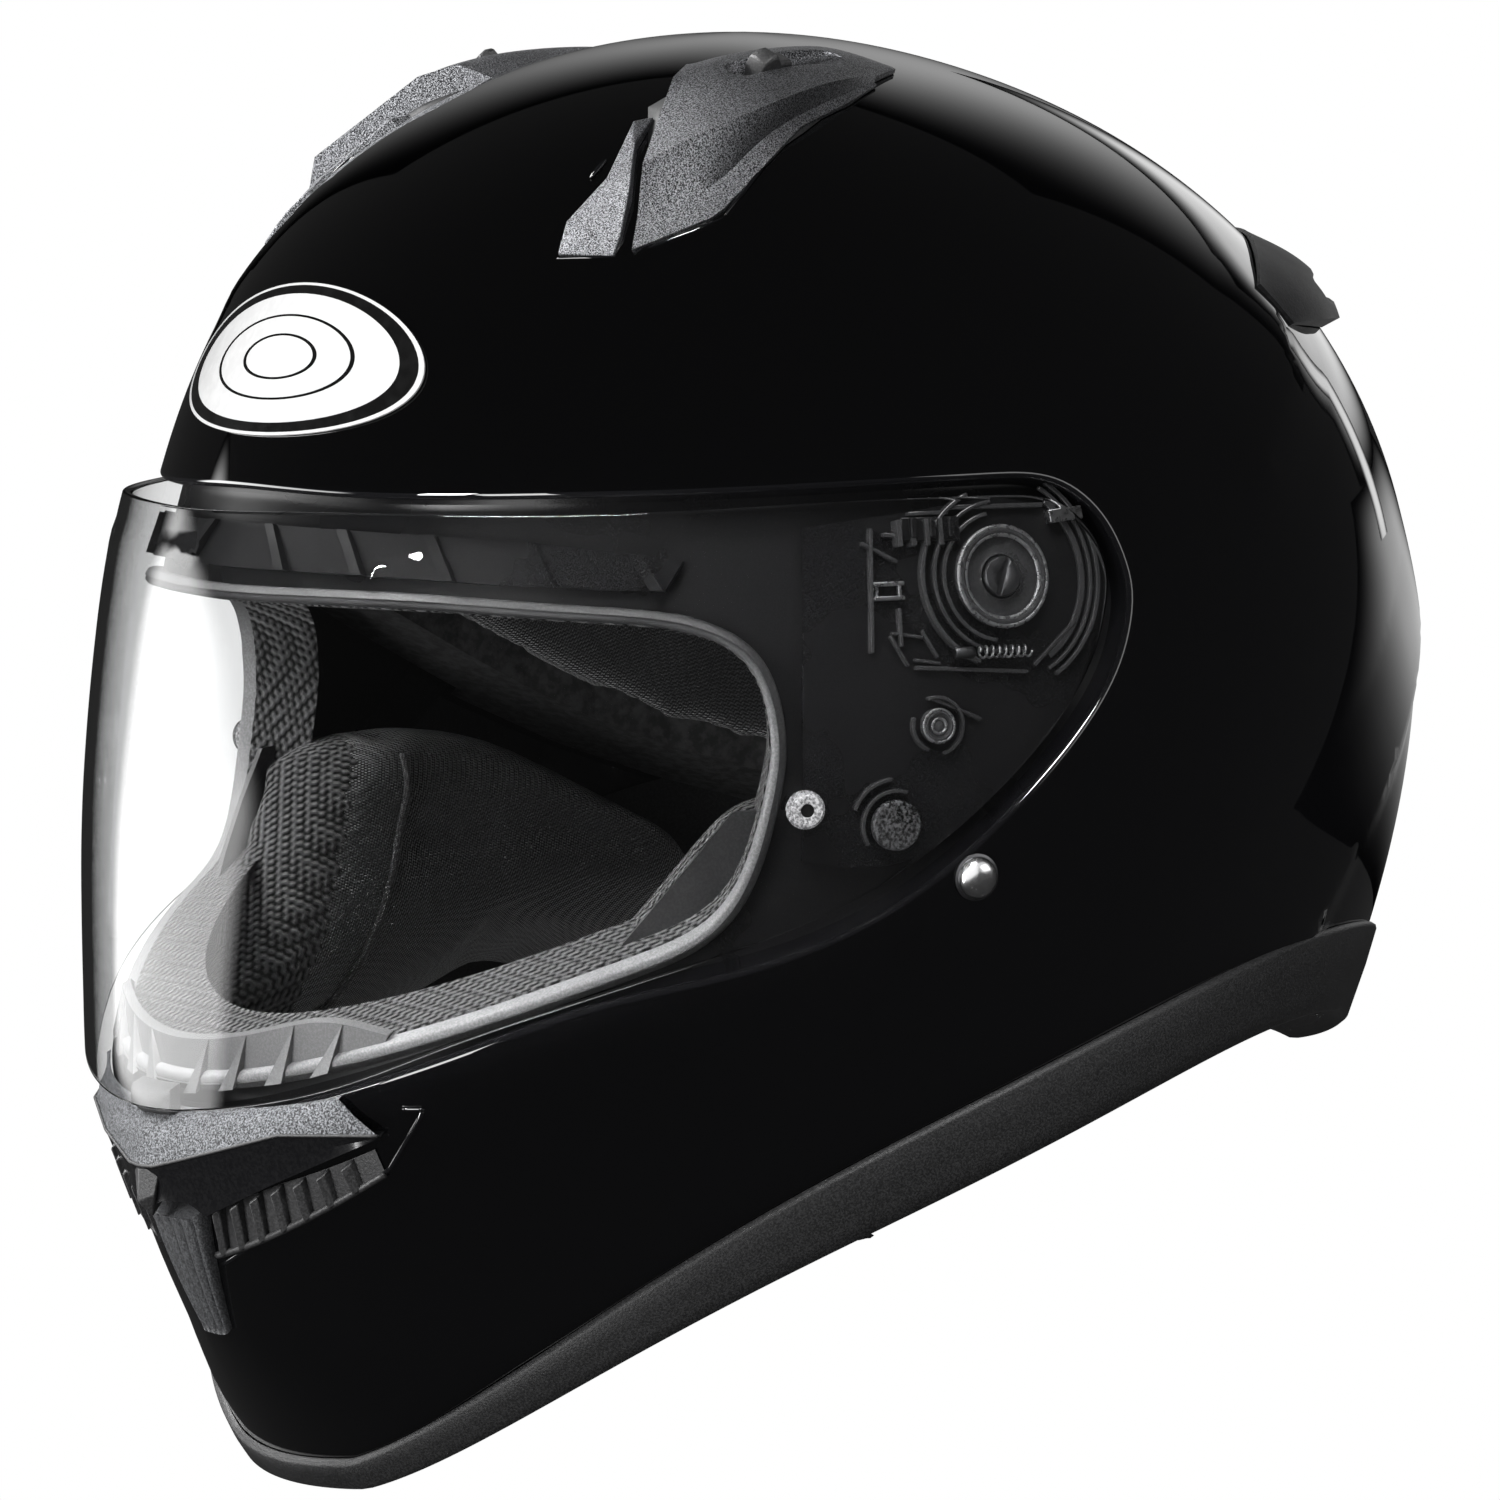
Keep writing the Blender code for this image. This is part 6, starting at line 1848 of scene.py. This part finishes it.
def dress_nodes():
    """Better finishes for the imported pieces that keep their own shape."""
    finishes = {"crown_foam": FOAM, "chin_foam": FOAM, "cheek_plate_left": MATTE, "cheek_plate_right": MATTE,
                "strap_anchor_left": STEEL, "strap_anchor_right": STEEL}
    for name, mat in finishes.items():
        obj = frame["nodes"][name]
        if not obj.material_slots:
            obj.data.materials.append(mat)
        for slot in obj.material_slots:
            slot.material = mat


# ---------------------------------------------------------------- camera, light and stage

AIM = math.radians(57.0)
RISE = math.radians(4.6)
CAMERA_AT = (1556.85, -994.93, 104.59)
LENS = 204.7
SENSOR = 36.0


def make_camera():
    """Camera of the photograph: AIM round from straight ahead, RISE above the level of the worn helmet."""
    toward = np.array([math.sin(AIM) * math.cos(RISE), -math.cos(AIM) * math.cos(RISE), math.sin(RISE)])
    right = np.array([math.cos(AIM), math.sin(AIM), 0.0])
    up = np.cross(toward, right)
    data = bpy.data.cameras.new("camera")
    data.lens = LENS
    data.sensor_width = SENSOR
    camera = bpy.data.objects.new("camera", data)
    pose = Matrix([rest(v) for v in (right, up, toward)]).transposed().to_4x4()
    pose.translation = Vector(world(CAMERA_AT))
    camera.matrix_world = pose
    bpy.context.collection.objects.link(camera)
    bpy.context.scene.camera = camera


SEEN = 1.0
GLOSS_SEEN = 0.022
SOFT_SEEN = 0.3


def seen_level(tree):
    """White where it is looked at, flagged off for reflections, softly lit for matte surfaces."""
    rays = tree.nodes.new("ShaderNodeLightPath")
    glossy = math_node(tree, "GREATER_THAN", rays.outputs["Glossy Depth"], 0.5)
    matte = math_node(tree, "GREATER_THAN", rays.outputs["Diffuse Depth"], 0.5)
    first = ramp(tree, SEEN, GLOSS_SEEN)
    link(tree, glossy, "Value", first, "Value")
    others = math_node(tree, "SUBTRACT", 1.0, matte.outputs[0])
    direct = math_node(tree, "MULTIPLY", first.outputs["Result"], others.outputs[0])
    return math_node(tree, "MULTIPLY_ADD", matte.outputs[0], SOFT_SEEN, direct.outputs[0])


def glow_material(name):
    """Material that only gives light, with its tree and its emission node."""
    mat, tree, _ = nodes_of(name)
    glow = tree.nodes.new("ShaderNodeEmission")
    link(tree, glow, "Emission", tree.nodes["Material Output"], "Surface")
    return mat, tree, glow


def flat_sheet(name, width, height, mat):
    """Rectangle in its own plane, for the floor and the lit cards."""
    x, y = width / 2, height / 2
    mesh = bpy.data.meshes.new(name)
    mesh.from_pydata([(-x, -y, 0), (x, -y, 0), (x, y, 0), (-x, y, 0)], [], [(0, 1, 2, 3)])
    mesh.materials.append(mat)
    obj = bpy.data.objects.new(name, mesh)
    bpy.context.collection.objects.link(obj)
    return obj


STAGE_SIZE = 24.0
STAGE_DROP = 0.0004


def make_stage():
    """Seamless white floor. Gloss surfaces see it as dim, as under flags in a studio."""
    mat, tree, glow = glow_material("white_floor")
    link(tree, seen_level(tree), "Value", glow, "Strength")
    floor = flat_sheet("studio_floor", STAGE_SIZE, STAGE_SIZE, mat)
    floor.location.z = -STAGE_DROP
    studio = bpy.data.worlds.new("studio")
    studio.use_nodes = True
    back = studio.node_tree.nodes["Background"]
    link(studio.node_tree, seen_level(studio.node_tree), "Value", back, "Strength")
    set_inputs(back, Color=(1, 1, 1, 1))
    bpy.context.scene.world = studio


def lead_of(turn, rise):
    """Direction: degrees from straight ahead to the wearer's left, and degrees above the horizon."""
    turn, rise = math.radians(turn), math.radians(rise)
    return Vector((math.sin(turn) * math.cos(rise), -math.cos(turn) * math.cos(rise), math.sin(rise)))


FLOOR_CARD_LIFT = 0.002


def soft_card(name, turn, rise, far, width, height, glow, fade, flat=False):
    """Lit card round the helmet or flat on the floor; it fades to its edges and shows only in reflections."""
    mat, tree, shine = glow_material(name)
    coords = tree.nodes.new("ShaderNodeTexCoord")
    split = tree.nodes.new("ShaderNodeSeparateXYZ")
    link(tree, coords, "Generated", split, "Vector")
    level = None
    for axis in "XY":
        for span in ((0.0, 1.0, 0.0, fade / 2), (1.0, 0.0, 1.0 - fade / 2, 1.0)):
            node = ramp(tree, *span)
            node.interpolation_type = "SMOOTHSTEP"
            link(tree, split, axis, node, "Value")
            level = math_node(tree, "MULTIPLY", level.outputs[0], node.outputs[0]) if level else node
    level = math_node(tree, "MULTIPLY", level.outputs[0], glow)
    link(tree, level, "Value", shine, "Strength")
    lead = lead_of(turn, rise)
    card = flat_sheet(name, width, height, mat)
    card.location = LIT_MIDDLE + lead * far
    card.rotation_euler = lead.to_track_quat("Z", "Y").to_euler()
    if flat:
        card.location.z = FLOOR_CARD_LIFT
        card.rotation_euler = (0.0, 0.0, math.radians(turn))
    card.visible_camera = False
    card.visible_transmission = False
    card.visible_shadow = False
    card.visible_diffuse = False


# what the cards and lamps are aimed at, in metres
LIT_MIDDLE = Vector((0.0, 0.0, 0.13))
MIRRORS = ("outer_shell_skin", "visor_shield", "front_badge_film")


def soft_lamp(name, turn, rise, far, width, height, glow, receivers, glossy=True):
    """Area lamp that lights only the pieces of one group; glow is per area."""
    lead = lead_of(turn, rise)
    data = bpy.data.lights.new(name, "AREA")
    data.shape = "RECTANGLE"
    data.size = width
    data.size_y = height
    data.energy = glow * math.pi * width * height
    lamp = bpy.data.objects.new(name, data)
    lamp.location = LIT_MIDDLE + lead * far
    lamp.rotation_euler = lead.to_track_quat("Z", "Y").to_euler()
    lamp.visible_camera = False
    lamp.visible_transmission = False
    lamp.visible_glossy = glossy
    bpy.context.collection.objects.link(lamp)
    lamp.light_linking.receiver_collection = receivers


MECH_NAMES = ("base_plate", "pivot_", "release_", "lever_", "plate_snap", "visor_stop", "fog_pin",
              "recess_floor")
METAL_NAMES = ("pivot_hub_bead", "pivot_screw", "strap_rivet", "lever_", "plate_snap", "fog_pin",
               "strap_d_ring")
EDGE_NAMES = ("chin_", "outer_shell_window", "forehead_")


def group_of(name, test):
    """Collection of the mesh pieces whose names pass a test, for light linking."""
    group = bpy.data.collections.new(name)
    for obj in list(bpy.data.objects):
        if obj.type == "MESH" and test(obj.name):
            group.objects.link(obj)
    return group


# name, direction, distance, width, height, strength and fade of each card, and whether it lies on the floor
CARDS = (("far_rim", -140, 12, 2.0, 2.6, 1.7, 0.5, 1.0), ("rear_strip", -171, -7, 0.55, 0.05, 0.26, 1.6, 0.7),
         ("front_left", -50, 9, 1.8, 1.7, 0.85, 5.0, 0.3), ("rear_glow", -156, 1, 0.71, 0.46, 0.27, 1.0, 0.5),
         ("rear_floor", -166, 0, 0.46, 0.38, 0.6, 0.6, 0.8, True))
# which pieces belong to each light group
GROUPS = {"grained": lambda name: name not in MIRRORS and not name.startswith(MECH_NAMES),
          "badge": lambda name: name == "front_badge_film",
          "mechanism": lambda name: name.startswith(MECH_NAMES),
          "metal": lambda name: name.startswith(METAL_NAMES),
          "visor": lambda name: name == "visor_shield",
          "edge": lambda name: name.startswith(EDGE_NAMES)}
# group, name, direction, distance, width, height and strength of each lamp, and whether it makes a glint
LAMPS = (("grained", "key_high", -70, 50, 1.5, 0.8, 0.6, 26.0),
         ("grained", "key_side", 95, 52, 1.5, 0.3, 0.3, 60.0),
         ("grained", "key_front", 18, 12, 1.6, 0.5, 0.9, 9.0), ("grained", "key_rear", 122, 4, 1.3, 0.7,
                                                                0.6, 1.6),
         ("mechanism", "mech_top", 88, 66, 1.2, 1.2, 0.35, 16.0), ("mechanism", "mech_front", 15, 2, 1.3,
                                                                   0.35, 1.2, 16.0),
         ("metal", "metal_wrap", 60, 22, 1.1, 1.8, 1.2, 1.3), ("metal", "metal_back", 125, 10, 1.1, 0.7,
                                                               0.9, 0.7),
         ("edge", "edge_front", 0, 30, 1.4, 0.3, 0.6, 40.0), ("visor", "visor_spark", -7, 34, 1.5, 0.05,
                                                              0.05, 500.0),
         ("visor", "visor_line", 35, 64, 1.4, 0.9, 0.3, 45.0), ("badge", "key_badge", -20, 40, 1.5, 1.0,
                                                                1.0, 9.0, False))


def make_lights():
    """Cards seen in the lacquer, and soft lamps for the grained, moulded and cloth pieces."""
    for card in CARDS:
        soft_card(*card)
    groups = {name: group_of(f"{name}_pieces", test) for name, test in GROUPS.items()}
    for group, name, turn, rise, far, width, height, glow, *glossy in LAMPS:
        soft_lamp(name, turn, rise, far, width, height, glow, groups[group], *glossy)


bpy.context.scene.view_settings.view_transform = "Standard"
make_camera()
make_stage()
dress_nodes()
make_outer_shell()
make_recess_floor()
make_forehead_vents()
make_chin_vent()
make_rear_vent()
make_bottom_trim()
make_badge()
make_mechanism()
make_port_lip()
make_strips()
make_rivets()
make_cheek_pads()
make_neck_cushion()
make_crown_lining()
make_straps()
make_visor()
make_visor_fittings()
make_lights()
